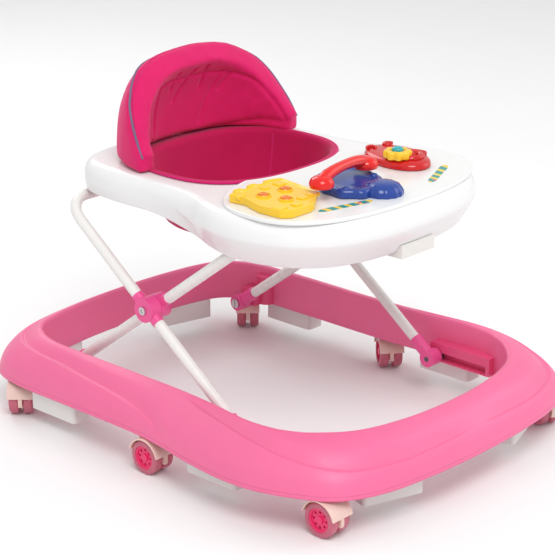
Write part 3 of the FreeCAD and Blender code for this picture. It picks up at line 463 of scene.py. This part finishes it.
def base_ring():
    outer, inner = mirrored(RING_OUTER, RING_HALF), mirrored(RING_INNER, OPENING_HALF)
    count = len(outer)
    stations = 14 * count
    half = len(RING_OUTER) - 1
    vertices = []
    for index in range(stations):
        t = index * count / stations
        station = t if t <= half else count - t
        section = ring_section(on_loop(outer, t), on_loop(inner, t), station)
        vertices += section
    faces = quad_faces(stations, len(section), True, True)
    ring = make_piece("ring_moulding", vertices, faces, PINK, "base")
    outward(ring)
    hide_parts("base_ring")


# ---------------------------------------------------------------- tray

TRAY_STATIONS = 320
TRAY_CREASE = [Vector(p) for p in ((-0.14, 0.30), (-0.05, 0.42), (0.10, 0.60), (0.30, 0.66), (0.52, 0.70))]


def ray_out(outline, centre, angle):
    """The point of a closed outline seen from centre at an angle."""
    heading = Vector((math.cos(angle), math.sin(angle)))
    count = len(outline)
    best = None
    for index in range(count):
        a, b = outline[index] - centre, outline[(index + 1) % count] - centre
        edge = b - a
        cross = heading.x * edge.y - heading.y * edge.x
        if abs(cross) < 1e-9:
            continue
        reach = (a.x * edge.y - a.y * edge.x) / cross
        share = (a.x * heading.y - a.y * heading.x) / cross
        if reach > 0 and -1e-6 <= share <= 1 + 1e-6 and (best is None or reach < best):
            best = reach
    return centre + heading * best


def skirt_low(y):
    """The skirt's lower edge rises beside the seat."""
    front, rear = -0.2 * TRAY_HALF[1], 0.35 * TRAY_HALF[1]
    return TRAY_LOW + (SKIRT_REAR_LOW - TRAY_LOW) * smooth_step(front, rear, y)


def skirt_tuck(y):
    return 20 - 12 * min(max((y + 60) / 160, 0), 1)


def tray_crease(y, level):
    """A soft step in the skirt behind the toy end, in millimetres."""
    share = y / TRAY_HALF[1]
    first, last = TRAY_CREASE[0][0], TRAY_CREASE[-1][0]
    if not first < share < last:
        return 0.0
    place = on_path(TRAY_CREASE, (share - first) / (last - first)).y
    fade = smooth_step(0, 0.12, share - first) * smooth_step(0, 0.25, last - share)
    return 1.8 * fade * smooth_step(-0.03, 0.05, place - level) * (1 - smooth_step(0.1, 0.9, place - level))


def tray_section(edge, hole, toward):
    """From under the lip round the skirt, over the shoulder and to the hole's edge, then back underneath."""
    low = skirt_low(edge.y)
    tuck = skirt_tuck(edge.y)
    height = TRAY_WIDEST - TRAY_LOW

    def outside(z):
        if z >= TRAY_WIDEST:
            return 0.0
        return tuck * ((TRAY_WIDEST - z) / height) ** 1.15

    def point(inset, z):
        spot = edge + toward * inset
        return at(spot.x, spot.y, z)

    section = [point(outside(low) + 2.4, low + 0.6), point(outside(low) + 1.2, low),
               point(outside(low) + 0.2, low + 0.6)]
    steps = 22
    for step in range(1, steps + 1):
        z = low + 1.5 + (TRAY_WIDEST - low - 1.5) * step / steps
        section.append(point(outside(z) + tray_crease(edge.y, (z - low) / (TRAY_TOP - low)), z))
    shoulder = [(0.0, 366), (0.6, 373), (2.6, 379), (5.4, 383), (9.0, 386), (13.0, 387.6), (18.0, 388)]
    for inset, z in shoulder:
        section.append(point(inset + tray_crease(edge.y, (z - low) / (TRAY_TOP - low)) * 0.6, z))
    gap = hole - edge
    for share in (0.25, 0.45, 0.65, 0.82, 0.92):
        spot = edge + toward * 18 + (gap - toward * 22) * share
        section.append(at(spot.x, spot.y, TRAY_TOP))
    for inset, z in ((3.2, 388), (1.4, 387.4), (0.3, 385.6), (0, 380), (0, 374), (2.4, 374), (2.4, 383)):
        spot = hole - gap.normalized() * inset
        section.append(at(spot.x, spot.y, z))
    for share in (0.8, 0.5, 0.2):
        spot = edge + toward * 18 + (gap - toward * 22) * share
        section.append(at(spot.x, spot.y, TRAY_TOP - 2.5))
    section += [point(10, 383), point(4.2, 376), point(2.5, 366), point(2.6, TRAY_WIDEST)]
    section.append(point(outside((low + TRAY_WIDEST) / 2) + 2.5, (low + TRAY_WIDEST) / 2))
    return section


def tray_shell():
    coarse = mirrored(TRAY_OUTLINE, TRAY_HALF)
    fine = [on_loop(coarse, index / 6) for index in range(len(coarse) * 6)]
    centre = Vector((0, HOLE_Y - 40))
    rim = [superellipse(HOLE_HALF, HOLE_POWER, 2 * math.pi * index / 240, HOLE_Y) for index in range(240)]
    vertices = []
    for index in range(TRAY_STATIONS):
        angle = 2 * math.pi * index / TRAY_STATIONS
        edge, hole = ray_out(fine, centre, angle), ray_out(rim, centre, angle)
        before, after = ray_out(fine, centre, angle - 0.01), ray_out(fine, centre, angle + 0.01)
        along = (after - before).normalized()
        inward = Vector((-along.y, along.x))
        toward = (inward + (hole - edge).normalized()).normalized()
        section = tray_section(edge, hole, inward if toward.dot(inward) < 0.7 else toward)
        vertices += section
    faces = quad_faces(TRAY_STATIONS, len(section), True, True)
    tray = make_piece("tray_moulding", vertices, faces, TRAY_WHITE, "tray")
    outward(tray)
    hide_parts("tray_shell")


def panel_outline():
    """The toy plate's edge: a rounded plate cut round the seat hole."""
    count = 260
    grown = (HOLE_HALF[0] + PANEL_MARGIN, HOLE_HALF[1] + PANEL_MARGIN)
    whole = [superellipse(PANEL_HALF, 2.5, 2 * math.pi * index / count + math.pi / 2, PANEL_Y)
             for index in range(count)]
    round_hole = [superellipse(grown, HOLE_POWER, -2 * math.pi * index / count, HOLE_Y)
                  for index in range(count)]

    def inside(p, size, centre_y):
        return abs(p.x / size[0]) ** 2.5 + abs((p.y - centre_y) / size[1]) ** 2.5 < 1

    kept = [p for p in whole if not inside(p, grown, HOLE_Y)]
    notch = [p for p in round_hole if inside(p, PANEL_HALF, PANEL_Y)]
    notch.sort(key=lambda p: -p.x)
    kept.sort(key=lambda p: math.atan2(p.x, -(p.y - PANEL_Y)) if p.y < PANEL_Y + 400 else 0)
    return kept + notch


def toy_panel():
    panel = prism_piece("toy_panel_plate", panel_outline(), TRAY_TOP - 0.5, PANEL_TOP, PANEL_WHITE, "tray",
                        bevel=1.8, inset=(7, PANEL_SINK))
    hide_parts("toy_panel")


# ---------------------------------------------------------------- seat sling

SEAT_STATIONS = 176


def seat_section(angle):
    """From the hem on the tray, over the hole's edge, down the wall and in to the middle of the bottom."""
    wave = math.sin(angle * 7 + 0.6) + 0.6 * math.sin(angle * 12 + 2.0)
    rear = smooth_step(0.2, 0.9, math.sin(angle))

    def on_edge(grow, z):
        spot = superellipse((HOLE_HALF[0] + grow, HOLE_HALF[1] + grow), HOLE_POWER, angle, HOLE_Y)
        return at(spot.x, spot.y, z)

    def on_wall(share, z, drift=0.0):
        spot = superellipse((HOLE_HALF[0] * share - 3 + drift, HOLE_HALF[1] * share - 3 + drift),
                            2 + (HOLE_POWER - 2) * share, angle, HOLE_Y)
        return at(spot.x, spot.y, z)

    section = [on_edge(7 + 20 * rear, TRAY_TOP + 0.8), on_edge(6.5 + 19 * rear, TRAY_TOP + 2.6),
               on_edge(4 + 10 * rear, TRAY_TOP + 4.0), on_edge(1, TRAY_TOP + 4.4),
               on_edge(-2.2, TRAY_TOP + 2.2), on_edge(-3.2, TRAY_TOP - 3), on_edge(-3.6, TRAY_TOP - 10)]
    wall = [Vector(p) for p in ((0.995, TRAY_TOP - 18), (0.95, TRAY_TOP - 45), (0.84, SEAT_BOTTOM + 16),
                                (0.72, SEAT_BOTTOM + 3), (0.56, SEAT_BOTTOM + 1.5))]
    for step in range(17):
        share, z = on_path(wall, step / 16)
        section.append(on_wall(share, z, -1.0 + 1.4 * wave * math.sin(math.pi * step / 16)))
    for share in (0.46, 0.36, 0.26, 0.16, 0.06):
        section.append(on_wall(share, SEAT_BOTTOM + 1.5))
    return section


def cut_leg_holes(mesh):
    """Opens the two round leg holes in the bottom and draws their edges onto circles."""
    work = bmesh.new()
    work.from_mesh(mesh)
    low = (SEAT_BOTTOM + 12) * MM
    for side in (-1, 1):
        middle = at(side * LEG_HOLE_SPOT[0], LEG_HOLE_SPOT[1], 0).xy
        doomed = [face for face in work.faces if face.calc_center_median().z < low
                  and (face.calc_center_median().xy - middle).length < LEG_HOLE_RADIUS * MM]
        bmesh.ops.delete(work, geom=doomed, context="FACES")
        for vertex in work.verts:
            away = vertex.co.xy - middle
            if vertex.is_boundary and vertex.co.z < low and away.length < (LEG_HOLE_RADIUS + 9) * MM:
                vertex.co.xy = middle + away.normalized() * LEG_HOLE_RADIUS * MM
    work.to_mesh(mesh)
    work.free()


def seat_sling():
    vertices = []
    for index in range(SEAT_STATIONS):
        section = seat_section(2 * math.pi * index / SEAT_STATIONS)
        vertices += section
    columns = len(section)
    faces = quad_faces(SEAT_STATIONS, columns, True, False)
    faces.append(tuple(index * columns + columns - 1 for index in range(SEAT_STATIONS)))
    seat = make_piece("seat_cloth", vertices, faces, SEAT_CLOTH, "tray")
    outward(seat)
    cut_leg_holes(seat.data)
    for polygon in seat.data.polygons:
        polygon.use_smooth = True
    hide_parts("seat_sling")
    trims = []
    for side, hand in ((-1, "left"), (1, "right")):
        ring = []
        for step in range(20):
            turn = 2 * math.pi * step / 20
            ring.append(at(side * LEG_HOLE_SPOT[0] + LEG_HOLE_RADIUS * math.cos(turn),
                           LEG_HOLE_SPOT[1] + LEG_HOLE_RADIUS * math.sin(turn), SEAT_BOTTOM + 1.5))
        trims.append(tube_piece(f"leg_hole_binding_{hand}", ring, 2.0, BAND_CLOTH, "tray",
                                closed=True))
    trims.append(hem_binding())
    trims += seat_seams()
    return seat


def hem_binding():
    """A rolled edge round the top of the sling."""
    ring = []
    for step in range(60):
        angle = 2 * math.pi * step / 60
        grow = 6.5 + 20 * smooth_step(0.2, 0.9, math.sin(angle))
        spot = superellipse((HOLE_HALF[0] + grow, HOLE_HALF[1] + grow), HOLE_POWER, angle, HOLE_Y)
        ring.append(at(spot.x, spot.y, TRAY_TOP + 2.4))
    return tube_piece("hem_binding", ring, 2.0, BAND_CLOTH, "tray", closed=True)


def seat_seams():
    """Piped seams down the sling's wall, where the side panels join the back and the front."""
    seams = []
    for number, degrees in enumerate((-38, 24, 156, 218)):
        section = seat_section(math.radians(degrees))
        seams.append(tube_piece(f"seat_seam_{number + 1}", section[5:22:3], 1.6, BAND_CLOTH, "tray"))
    return seams


# ---------------------------------------------------------------- backrest

BACK_PUFF_CAP = 6.0
BACK_SEAM_BEHIND_RIM = 0.17
BACK_STATIONS = 96
WING_ANGLE = math.radians(3)


def dome_point(angle, level, inset):
    """A point of the backrest's dome; level runs from 0 on the tray to 1 at the top."""
    share = (1 - level ** DOME_POWER) ** (1 / DOME_POWER)
    half = ((BACK_HALF[0] - inset) * share, (BACK_HALF[1] - inset) * share)
    spot = superellipse(half, BACK_POWER, angle, BACK_Y)
    return Vector((spot.x, spot.y, BACK_BASE + (BACK_RISE - inset) * level))


def rim_level(angle, inset):
    """The level at which the leaning rim cuts the dome at this angle."""
    low, high = 0.0, 0.999
    for _ in range(26):
        middle = (low + high) / 2
        point = dome_point(angle, middle, inset)
        if point.y - BACK_Y > math.tan(RIM_LEAN) * (point.z - BACK_BASE):
            low = middle
        else:
            high = middle
    return low


def back_section(angle, slack):
    """A loop through the padding at one angle: up the outside, over the rim and down the inside."""
    outer_top, inner_top = rim_level(angle, slack), rim_level(angle, BACK_THICK - slack)
    steps = 20
    outside = [dome_point(angle, outer_top * step / steps, slack) for step in range(steps + 1)]
    inside = [dome_point(angle, inner_top * step / steps, BACK_THICK - slack) for step in range(steps + 1)]
    outside[0] += (inside[0] - outside[0]) * 0.10 - Vector((0, 0, 2))
    inside[0] += (outside[0] - inside[0]) * 0.04 - Vector((0, 0, 2))
    forward = Vector((0, -math.cos(RIM_LEAN), math.sin(RIM_LEAN)))
    roll = []
    for share in (0.12, 0.3, 0.5, 0.7, 0.88):
        bulge = math.sin(math.pi * share) ** 0.6 * (BACK_THICK - 2 * slack) * 0.30
        roll.append(outside[-1].lerp(inside[-1], share) + forward * bulge)
    drawn_back = forward * (BACK_THICK - 2 * slack) * 0.26
    rise = smooth_step(0, 0.35, outer_top)
    loop = outside + roll + inside[::-1]
    return [point - drawn_back * rise if steps - 1 <= place <= steps + 7 else point
            for place, point in enumerate(loop)]


def puff(piece, voxel, pressure, cap):
    """Stuffs a closed piece: remesh, a short cloth run under pressure, and no point moved beyond the cap."""
    scene = bpy.context.scene
    remesh = piece.modifiers.new("remesh", "REMESH")
    remesh.mode = "VOXEL"
    remesh.voxel_size = voxel * MM
    apply_modifiers(piece)
    before = [vertex.co.copy() for vertex in piece.data.vertices]
    cloth = piece.modifiers.new("cloth", "CLOTH")
    cloth.settings.use_pressure = True
    cloth.settings.uniform_pressure_force = pressure
    cloth.settings.quality = 4
    cloth.settings.effector_weights.gravity = 0
    cloth.settings.tension_stiffness = 12
    cloth.settings.bending_stiffness = 0.6
    cloth.point_cache.frame_start = 1
    cloth.point_cache.frame_end = 20
    for moment in range(1, 21):
        scene.frame_set(moment)
    apply_modifiers(piece)
    scene.frame_set(1)
    for vertex, old in zip(piece.data.vertices, before):
        move = vertex.co - old
        if move.length > cap * MM:
            vertex.co = old + move.normalized() * cap * MM


def apply_modifiers(piece):
    """Turns the piece's modifiers into its mesh."""
    graph = bpy.context.evaluated_depsgraph_get()
    mesh = bpy.data.meshes.new_from_object(piece.evaluated_get(graph))
    mesh.name = piece.name
    piece.modifiers.clear()
    old = piece.data
    piece.data = mesh
    bpy.data.meshes.remove(old)


def relax(mesh, rounds):
    """Smooths a mesh a little, to take out the voxel steps."""
    work = bmesh.new()
    work.from_mesh(mesh)
    for _ in range(rounds):
        bmesh.ops.smooth_vert(work, verts=work.verts, factor=0.5, use_axis_x=True, use_axis_y=True,
                              use_axis_z=True)
    work.to_mesh(mesh)
    work.free()


def sink_along(mesh, lines):
    """Presses stitched lines into a mesh; each line is (points in metres, depth, width) in millimetres."""
    for points, depth, width in lines:
        dense = [on_path(points, step / 120) for step in range(121)]
        tree = KDTree(len(dense))
        for index, point in enumerate(dense):
            tree.insert(point, index)
        tree.balance()

        def press(spot):
            distance = tree.find(spot)[2] / MM
            return -depth * math.exp(-(distance / width) ** 2) if distance < 3 * width else 0

        push_along_normals(mesh, press)


def inner_line(spots, inset=BACK_THICK - 1):
    """Points on the backrest; spots are (degrees round the dome, share of the way up to the rim)."""
    line = []
    for degrees, share in spots:
        angle = math.radians(degrees)
        line.append(dome_point(angle, rim_level(angle, inset) * share, inset) * MM)
    return line


def rim_line(inset, share, count=25):
    """A line that follows the rim at a share of the way up each side of it."""
    first = math.degrees(WING_ANGLE)
    degrees = [first + (180 - 2 * first) * step / (count - 1) for step in range(count)]
    return inner_line([(angle, share) for angle in degrees], inset)


def snapped(points, piece, lift):
    """The points moved onto a piece's surface, lifted off it by some millimetres."""
    moved = []
    for point in points:
        found, place, normal, _ = piece.closest_point_on_mesh(point)
        moved.append(place + normal * lift * MM if found else point)
    return moved


PLEATS = [  # darts of the inner panel: (degrees, share of the way up) along each
    [(88, 0.93), (92, 0.74), (97, 0.52)],
    [(76, 0.95), (77, 0.80), (79, 0.62)],
    [(104, 0.93), (103, 0.70)],
    [(58, 0.86), (66, 0.66), (73, 0.42), (77, 0.16)],
    [(50, 0.82), (56, 0.70), (62, 0.58)],
    [(122, 0.88), (118, 0.62), (117, 0.34), (118, 0.08)],
    [(135, 0.80), (130, 0.55)],
]

LOW_FOLD = [(172, 0.3), (150, 0.12), (120, 0.03), (90, 0.02), (60, 0.03), (30, 0.12), (8, 0.3)]


def backrest():
    vertices = []
    for index in range(BACK_STATIONS):
        angle = math.pi - WING_ANGLE - (math.pi - 2 * WING_ANGLE) * index / (BACK_STATIONS - 1)
        section = back_section(angle, 2.5)
        vertices += [point * MM for point in section]
    columns = len(section)
    faces = quad_faces(BACK_STATIONS, columns, False, True)
    faces.append(tuple(range(columns)))
    faces.append(tuple(range((BACK_STATIONS - 1) * columns, BACK_STATIONS * columns))[::-1])
    pad = make_piece("backrest_pad", vertices, faces, BACK_CLOTH, "tray")
    outward(pad)
    puff(pad, 5, 4, BACK_PUFF_CAP)
    relax(pad.data, 3)
    divide = pad.modifiers.new("divide", "SUBSURF")
    divide.levels = divide.render_levels = 1
    apply_modifiers(pad)
    lines = [(rim_line(BACK_THICK, 1 - BACK_SEAM_BEHIND_RIM), 3.6, 4.0), (inner_line(LOW_FOLD), 3.0, 5.0)]
    lines += [(inner_line(pleat), 3.0, 2.6) for pleat in PLEATS]
    lines.append((rim_line(0.5, 0.96, 41), 1.6, 2.4))
    sink_along(pad.data, [(snapped(points, pad, 0), depth, width) for points, depth, width in lines])
    push_along_normals(pad.data, soft_wrinkle)
    for polygon in pad.data.polygons:
        polygon.use_smooth = True
    finish_piece(pad, BACK_CLOTH, "tray")
    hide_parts("backrest")
    edge = snapped(rim_line(0.5, 0.87, 41), pad, 0.4)
    tube_piece("rim_piping", edge, 1.7, PIPING, "tray")
    second = snapped(rim_line(0.5, 0.96, 41), pad, -0.2)
    tube_piece("rim_cord", second, 1.1, BAND_CLOTH, "tray")
    return pad


def push_along_normals(mesh, push):
    """Moves each vertex along its normal by push(position) millimetres."""
    mesh.update()
    normals = [vertex.normal.copy() for vertex in mesh.vertices]
    moves = [normal * push(vertex.co) * MM for vertex, normal in zip(mesh.vertices, normals)]
    for vertex, move in zip(mesh.vertices, moves):
        vertex.co += move


def soft_wrinkle(spot):
    """The height of a soft wrinkle of loosely filled cloth at a point, in millimetres."""
    slow = noise.noise(Vector((spot.x * 26, spot.y * 20, spot.z * 14)))
    fine = noise.noise(Vector((spot.x * 70 + 3, spot.y * 60, spot.z * 34)))
    return 0.9 * slow + 0.35 * fine


# ---------------------------------------------------------------- toys

DECK = PANEL_TOP - PANEL_SINK
CASTLE_SPOT = (-135, -128)
CASTLE_OUTLINE = [(-52, 48), (-36, 48), (-36, 57), (-22, 57), (-22, 50), (-8, 50), (-8, 58), (8, 58), (8, 50),
                  (24, 50), (24, 57), (38, 54), (53, 47), (47, 12), (42, -28), (4, -58), (-8, -63),
                  (-46, -63), (-58, -52), (-60, -14), (-48, 22)]
CASTLE_BRICKS = [(-46, -40, 9, 8), (30, -30, 9, 7), (34, 34, 8, 7), (-44, 36, 7, 7), (6, 36, 6, 6),
                 (-20, -46, 7, 6), (8, -32, 8, 6)]
BUTTON_SPOTS = [(-21, 13), (19, 10), (-12, -20)]
PHONE_SPOT, PHONE_TURN, PHONE_HALF, PHONE_HIGH = (-22, -152), math.radians(-38), (46, 62), 13
DIAL_SPOT, DIAL_RADIUS = (-14, -206), 29
HANDSET_SPOT, HANDSET_TURN, HANDSET_LOW = (-40, -158), math.radians(8), 411.4
SNAIL_SPOT, SNAIL_TURN, SNAIL_HALF, SNAIL_HIGH = (122, -120), math.radians(-14), (40, 62), 12
GEAR_SPOT, GEAR_RADIUS, GEAR_LOW, GEAR_HIGH = (100, -138), 21, 406.4, 12
STICKERS = [((-92, -206), math.radians(-14)), ((112, -203), math.radians(24))]


def turned_spot(spot, turn, x, y):
    cosine, sine = math.cos(turn), math.sin(turn)
    return (spot[0] + x * cosine - y * sine, spot[1] + x * sine + y * cosine)


def lathe_piece(name, middle, profile, material, body, stations=48, half=(1, 1), turn=0.0, wave=None):
    """A turned piece on an upright axis; profile is (radius, z) from the rim to the middle."""
    vertices = []
    for index in range(stations):
        angle = 2 * math.pi * index / stations
        for radius, z in profile:
            grow = wave(angle, radius) if wave else 0
            x = (radius + grow) * half[0] * math.cos(angle)
            y = (radius + grow) * half[1] * math.sin(angle)
            vertices.append(at(*turned_spot(middle, turn, x, y), z))
    columns = len(profile)
    faces = quad_faces(stations, columns, True, False)
    faces.append(tuple(index * columns for index in range(stations))[::-1])
    faces.append(tuple(index * columns + columns - 1 for index in range(stations)))
    piece = make_piece(name, vertices, faces, material, body, sharp_degrees=50)
    outward(piece)
    return piece


def dome_profile(radius, low, high, flat=0.04, steps=9):
    """A bead-shaped profile from the bottom edge to the crown."""
    profile = [(radius, low)]
    for step in range(steps + 1):
        turn = math.pi / 2 * step / steps
        wide = max(radius * math.cos(turn) ** 0.55, radius * flat)
        profile.append((wide, low + 1 + (high - low - 1) * math.sin(turn)))
    return profile


def castle():
    outline = [(CASTLE_SPOT[0] + x, CASTLE_SPOT[1] + y) for x, y in CASTLE_OUTLINE]
    body = prism_piece("castle_body", outline, DECK, PANEL_TOP + 12, YELLOW, "tray",
                       bevel=2.0, inset=(5, 3.2), steps=4)
    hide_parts("castle_toy")
    for number, (x, y) in enumerate(BUTTON_SPOTS):
        middle = (CASTLE_SPOT[0] + x, CASTLE_SPOT[1] + y)
        rim = [(10.6, PANEL_TOP + 8), (10.8, PANEL_TOP + 10.6), (10.2, PANEL_TOP + 11.4),
               (9.2, PANEL_TOP + 11.2), (8.6, PANEL_TOP + 9.6), (8.5, PANEL_TOP + 6)]
        lathe_piece(f"button_collar_{number + 1}", middle, rim, YELLOW, "tray")
        cap = dome_profile(7.9, PANEL_TOP + 5.8, PANEL_TOP + 13.6)
        button = lathe_piece(f"button_cap_{number + 1}", middle, cap, ORANGE, f"castle_button_{number + 1}")
        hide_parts(f"castle_button_{number + 1}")
    for number, (x, y, wide, deep) in enumerate(CASTLE_BRICKS):
        corners = [(CASTLE_SPOT[0] + x + a * wide, CASTLE_SPOT[1] + y + b * deep)
                   for a, b in ((-1, -1), (1, -1), (1, 1), (-1, 1))]
        prism_piece(f"castle_brick_{number + 1}", corners, PANEL_TOP + 5, PANEL_TOP + 11, YELLOW, "tray",
                    bevel=1.6)


def phone_base():
    """A disc with lobes round its edge, a ribbed dome beside it and two knobs."""
    low, high = DECK, PANEL_TOP + PHONE_HIGH

    def lobes(angle, radius):
        return 0.035 * math.cos(9 * angle) * smooth_step(0.6, 1.0, radius)

    profile = [(0.95, low), (0.99, low + 2), (0.985, high - 6), (0.96, high - 2.5), (0.90, high - 0.7),
               (0.82, high - 1.0), (0.76, high - 2.2), (0.55, high - 1.4), (0.30, high - 0.8),
               (0.04, high - 0.6)]
    base = lathe_piece("phone_body", PHONE_SPOT, profile, BLUE, "tray", 96, PHONE_HALF,
                       PHONE_TURN, lobes)
    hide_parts("phone_base")

    def ribs(angle, radius):
        return 0.55 * math.cos(14 * angle) * smooth_step(6, 20, radius)

    dial_high = high + 3.6
    profile = [(DIAL_RADIUS - 0.8, low), (DIAL_RADIUS - 0.6, low + 5), (DIAL_RADIUS - 2.5, low + 9),
               (DIAL_RADIUS - 6, dial_high - 4.2), (DIAL_RADIUS - 12, dial_high - 1.4),
               (DIAL_RADIUS - 19, dial_high - 0.2), (5, dial_high), (1, dial_high)]
    lathe_piece("phone_dome", DIAL_SPOT, profile, BLUE, "tray", 112, wave=ribs)
    for number, (x, y) in enumerate(((-62, -180), (12, -168))):
        lathe_piece(f"phone_knob_{number + 1}", (x, y), dome_profile(6.5, high - 8, high + 1.5), BLUE, "tray",
                    32)


def handset():
    """Two cups and an arched grip between them."""
    low = HANDSET_LOW
    line = [turned_spot(HANDSET_SPOT, HANDSET_TURN, x, 0) for x in (-58, -46, -26, 0, 26, 46, 58)]
    heights = (12, 16.5, 20.0, 21.2, 20.0, 16.5, 12)
    points = [at(x, y, low + high - 3) for (x, y), high in zip(line, heights)]
    grip = tube_piece("handset_grip", points, 8.6, RED, "handset",
                      shares=(1.0, 1.0, 0.92, 0.84, 0.92, 1.0, 1.0))
    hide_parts("handset")
    for side in (-1, 1):
        middle = turned_spot(HANDSET_SPOT, HANDSET_TURN, side * 56, 0)
        profile = [(13.5, low + 0.3), (16.2, low + 0.9), (17.3, low + 3.5), (17.2, low + 7),
                   (15.4, low + 11.5), (11.5, low + 14.8), (6, low + 16.6), (1, low + 17)]
        lathe_piece(f"handset_cup_{side + 2}", middle, profile, RED, "handset", 48)


def snail():
    """A rounded body, a coiled shell on it and two curled horns."""
    low, high = DECK, PANEL_TOP + SNAIL_HIGH
    body_profile = [(0.93, low), (0.98, low + 2), (0.97, high - 6), (0.90, high - 2.6), (0.74, high - 1.0),
                    (0.40, high - 0.8), (0.04, high - 0.8)]
    body = lathe_piece("snail_body", SNAIL_SPOT, body_profile, SNAIL_RED, "tray", 80, SNAIL_HALF,
                       SNAIL_TURN)
    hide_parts("snail_toy")
    coil, shares = [], []
    for step in range(40):
        turn = 2 * math.pi * 1.75 * step / 39
        radius = 23 - 17.5 * step / 39
        x, y = turned_spot(SNAIL_SPOT, SNAIL_TURN, 6 + radius * math.cos(turn), -26 + radius * math.sin(turn))
        coil.append(at(x, y, high - 1.5 + 4 * step / 39))
        shares.append(1.0 - 0.35 * step / 39)
    tube_piece("snail_coil", coil, 5.6, SNAIL_RED, "tray", shares=shares)
    for number, (x, y, hand) in enumerate(((-14, 46, -1), (16, 48, 1))):
        horn = []
        for step in range(14):
            turn = math.pi * 1.5 * step / 13
            radius = 7.5 - 3.4 * step / 13
            across, along = x + hand * radius * math.cos(turn), y + radius * math.sin(turn) - 3
            horn.append(at(*turned_spot(SNAIL_SPOT, SNAIL_TURN, across, along), high - 1))
        tube_piece(f"snail_horn_{number + 1}", horn, 3.0, SNAIL_RED, "tray")


def gear():
    """A flower-shaped wheel with a round cap on the post it spins on."""
    petals = 8

    def petal(angle, radius):
        return 1.9 * math.cos(petals * angle) * smooth_step(8, 17, radius)

    low, high = GEAR_LOW, GEAR_LOW + GEAR_HIGH
    profile = [(GEAR_RADIUS - 3.4, low), (GEAR_RADIUS - 2.2, low + 1.5), (GEAR_RADIUS - 2.1, high - 3),
               (GEAR_RADIUS - 4.0, high - 0.6), (GEAR_RADIUS - 7, high), (11.5, high - 0.6),
               (10.8, high - 2.4), (7, high - 2.6)]
    wheel = lathe_piece("gear_wheel", GEAR_SPOT, profile, GEAR_YELLOW, "spinning_gear", 96,
                        wave=petal)
    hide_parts("spinning_gear")
    cap = dome_profile(8.6, high - 2.2, high + 4.4)
    lathe_piece("gear_cap", GEAR_SPOT, cap, TEAL, "tray", 40)


def stickers():
    """Two leaf-shaped labels with a wavy print."""
    for number, (spot, turn) in enumerate(STICKERS):
        outline = []
        for step in range(48):
            angle = 2 * math.pi * step / 48
            x, y = 44 * math.cos(angle), 11 * math.sin(angle) * (0.75 + 0.25 * math.cos(2 * angle))
            outline.append(turned_spot(spot, turn, x, y))
        label = prism_piece(f"sticker_{number + 1}", outline, DECK, PANEL_TOP - 0.4, PRINT, "tray",
                            bevel=0.2, steps=1)
        if number == 0:
            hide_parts("stickers")


# ---------------------------------------------------------------- scene

def camera():
    data = bpy.data.cameras.new("camera")
    data.lens = 125.5
    data.sensor_width = 36
    data.clip_end = 30
    view = bpy.data.objects.new("camera", data)
    back = Vector((-0.6925, -0.6374, 0.3379)).normalized()
    view.location = Vector((0.0662, 0.0638, 0.184)) + back * 2.944
    view.rotation_euler = back.to_track_quat("Z", "Y").to_euler()
    bpy.context.scene.collection.objects.link(view)
    bpy.context.scene.camera = view


def light(name, place, aim, size, power, colour=(1, 1, 1)):
    data = bpy.data.lights.new(name, "AREA")
    data.shape = "DISK"
    data.size = size
    data.energy = power
    data.color = colour
    lamp = bpy.data.objects.new(name, data)
    lamp.location = place
    lamp.rotation_euler = (Vector(place) - Vector(aim)).to_track_quat("Z", "Y").to_euler()
    bpy.context.scene.collection.objects.link(lamp)


def studio():
    floor_mesh = bpy.data.meshes.new("studio_floor")
    reach = 14
    corners = [(-reach, -reach, 0), (reach, -reach, 0), (reach, reach, 0), (-reach, reach, 0)]
    floor_mesh.from_pydata(corners, [], [(0, 1, 2, 3)])
    floor = bpy.data.objects.new("studio_floor", floor_mesh)
    bpy.context.scene.collection.objects.link(floor)
    floor_mesh.materials.append(plastic("floor_pale", (0.90, 0.90, 0.90), 0.65, mottle=0.01, grain=60.0))
    world = bpy.data.worlds.new("studio_world")
    bpy.context.scene.world = world
    world.use_nodes = True
    world.node_tree.nodes["Background"].inputs["Color"].default_value = (1, 1, 1, 1)
    world.node_tree.nodes["Background"].inputs["Strength"].default_value = 0.75
    light("key", (-1.2, -1.6, 2.6), (0, 0, 0.25), 1.6, 42)
    light("fill", (2.2, -1.4, 1.6), (0, 0, 0.25), 2.0, 14)
    light("rear", (0.8, 2.4, 2.0), (0, 0, 0.3), 1.6, 18)
    bpy.context.scene.view_settings.view_transform = "Standard"


def cad_finishes():
    hands = ("left", "right")
    places = [f"{row}_{hand}" for row in ("front", "middle", "rear") for hand in hands]
    dress(["stop_pads"], PAD_WHITE)
    dress([f"slide_rack_{h}" for h in hands] + [f"pivot_block_{h}" for h in hands], INNER_PINK)
    dress([f"{row}_foot_{h}" for h in hands for row in ("front", "rear")], KNUCKLE_PINK)
    dress([f"{row}_knuckle_{h}" for h in hands for row in ("inner", "outer")], KNUCKLE_PINK)
    dress(["pivot_screws", "crossing_bolts"], STEEL)
    dress([f"slider_{h}" for h in hands], GREY)
    dress(["front_bar_tube", "rear_bar_tube"], TUBE_WHITE)
    dress(["rear_bar_clips", "latch_housing", "latch_lever"], LATCH_WHITE)
    dress([f"caster_{p}_hood" for p in places], HOOD_CREAM)
    dress([f"caster_{p}_axle" for p in places], AXLE)
    dress([f"caster_{p}_tyres" for p in places], TYRE_CLEAR)
    dress([f"caster_{p}_hubs" for p in places], HUB_PINK)


camera()
studio()
cad_finishes()
base_ring()
tray_shell()
toy_panel()

seat_sling()
backrest()

castle()
phone_base()
handset()
snail()
gear()
stickers()

bpy.context.view_layer.update()
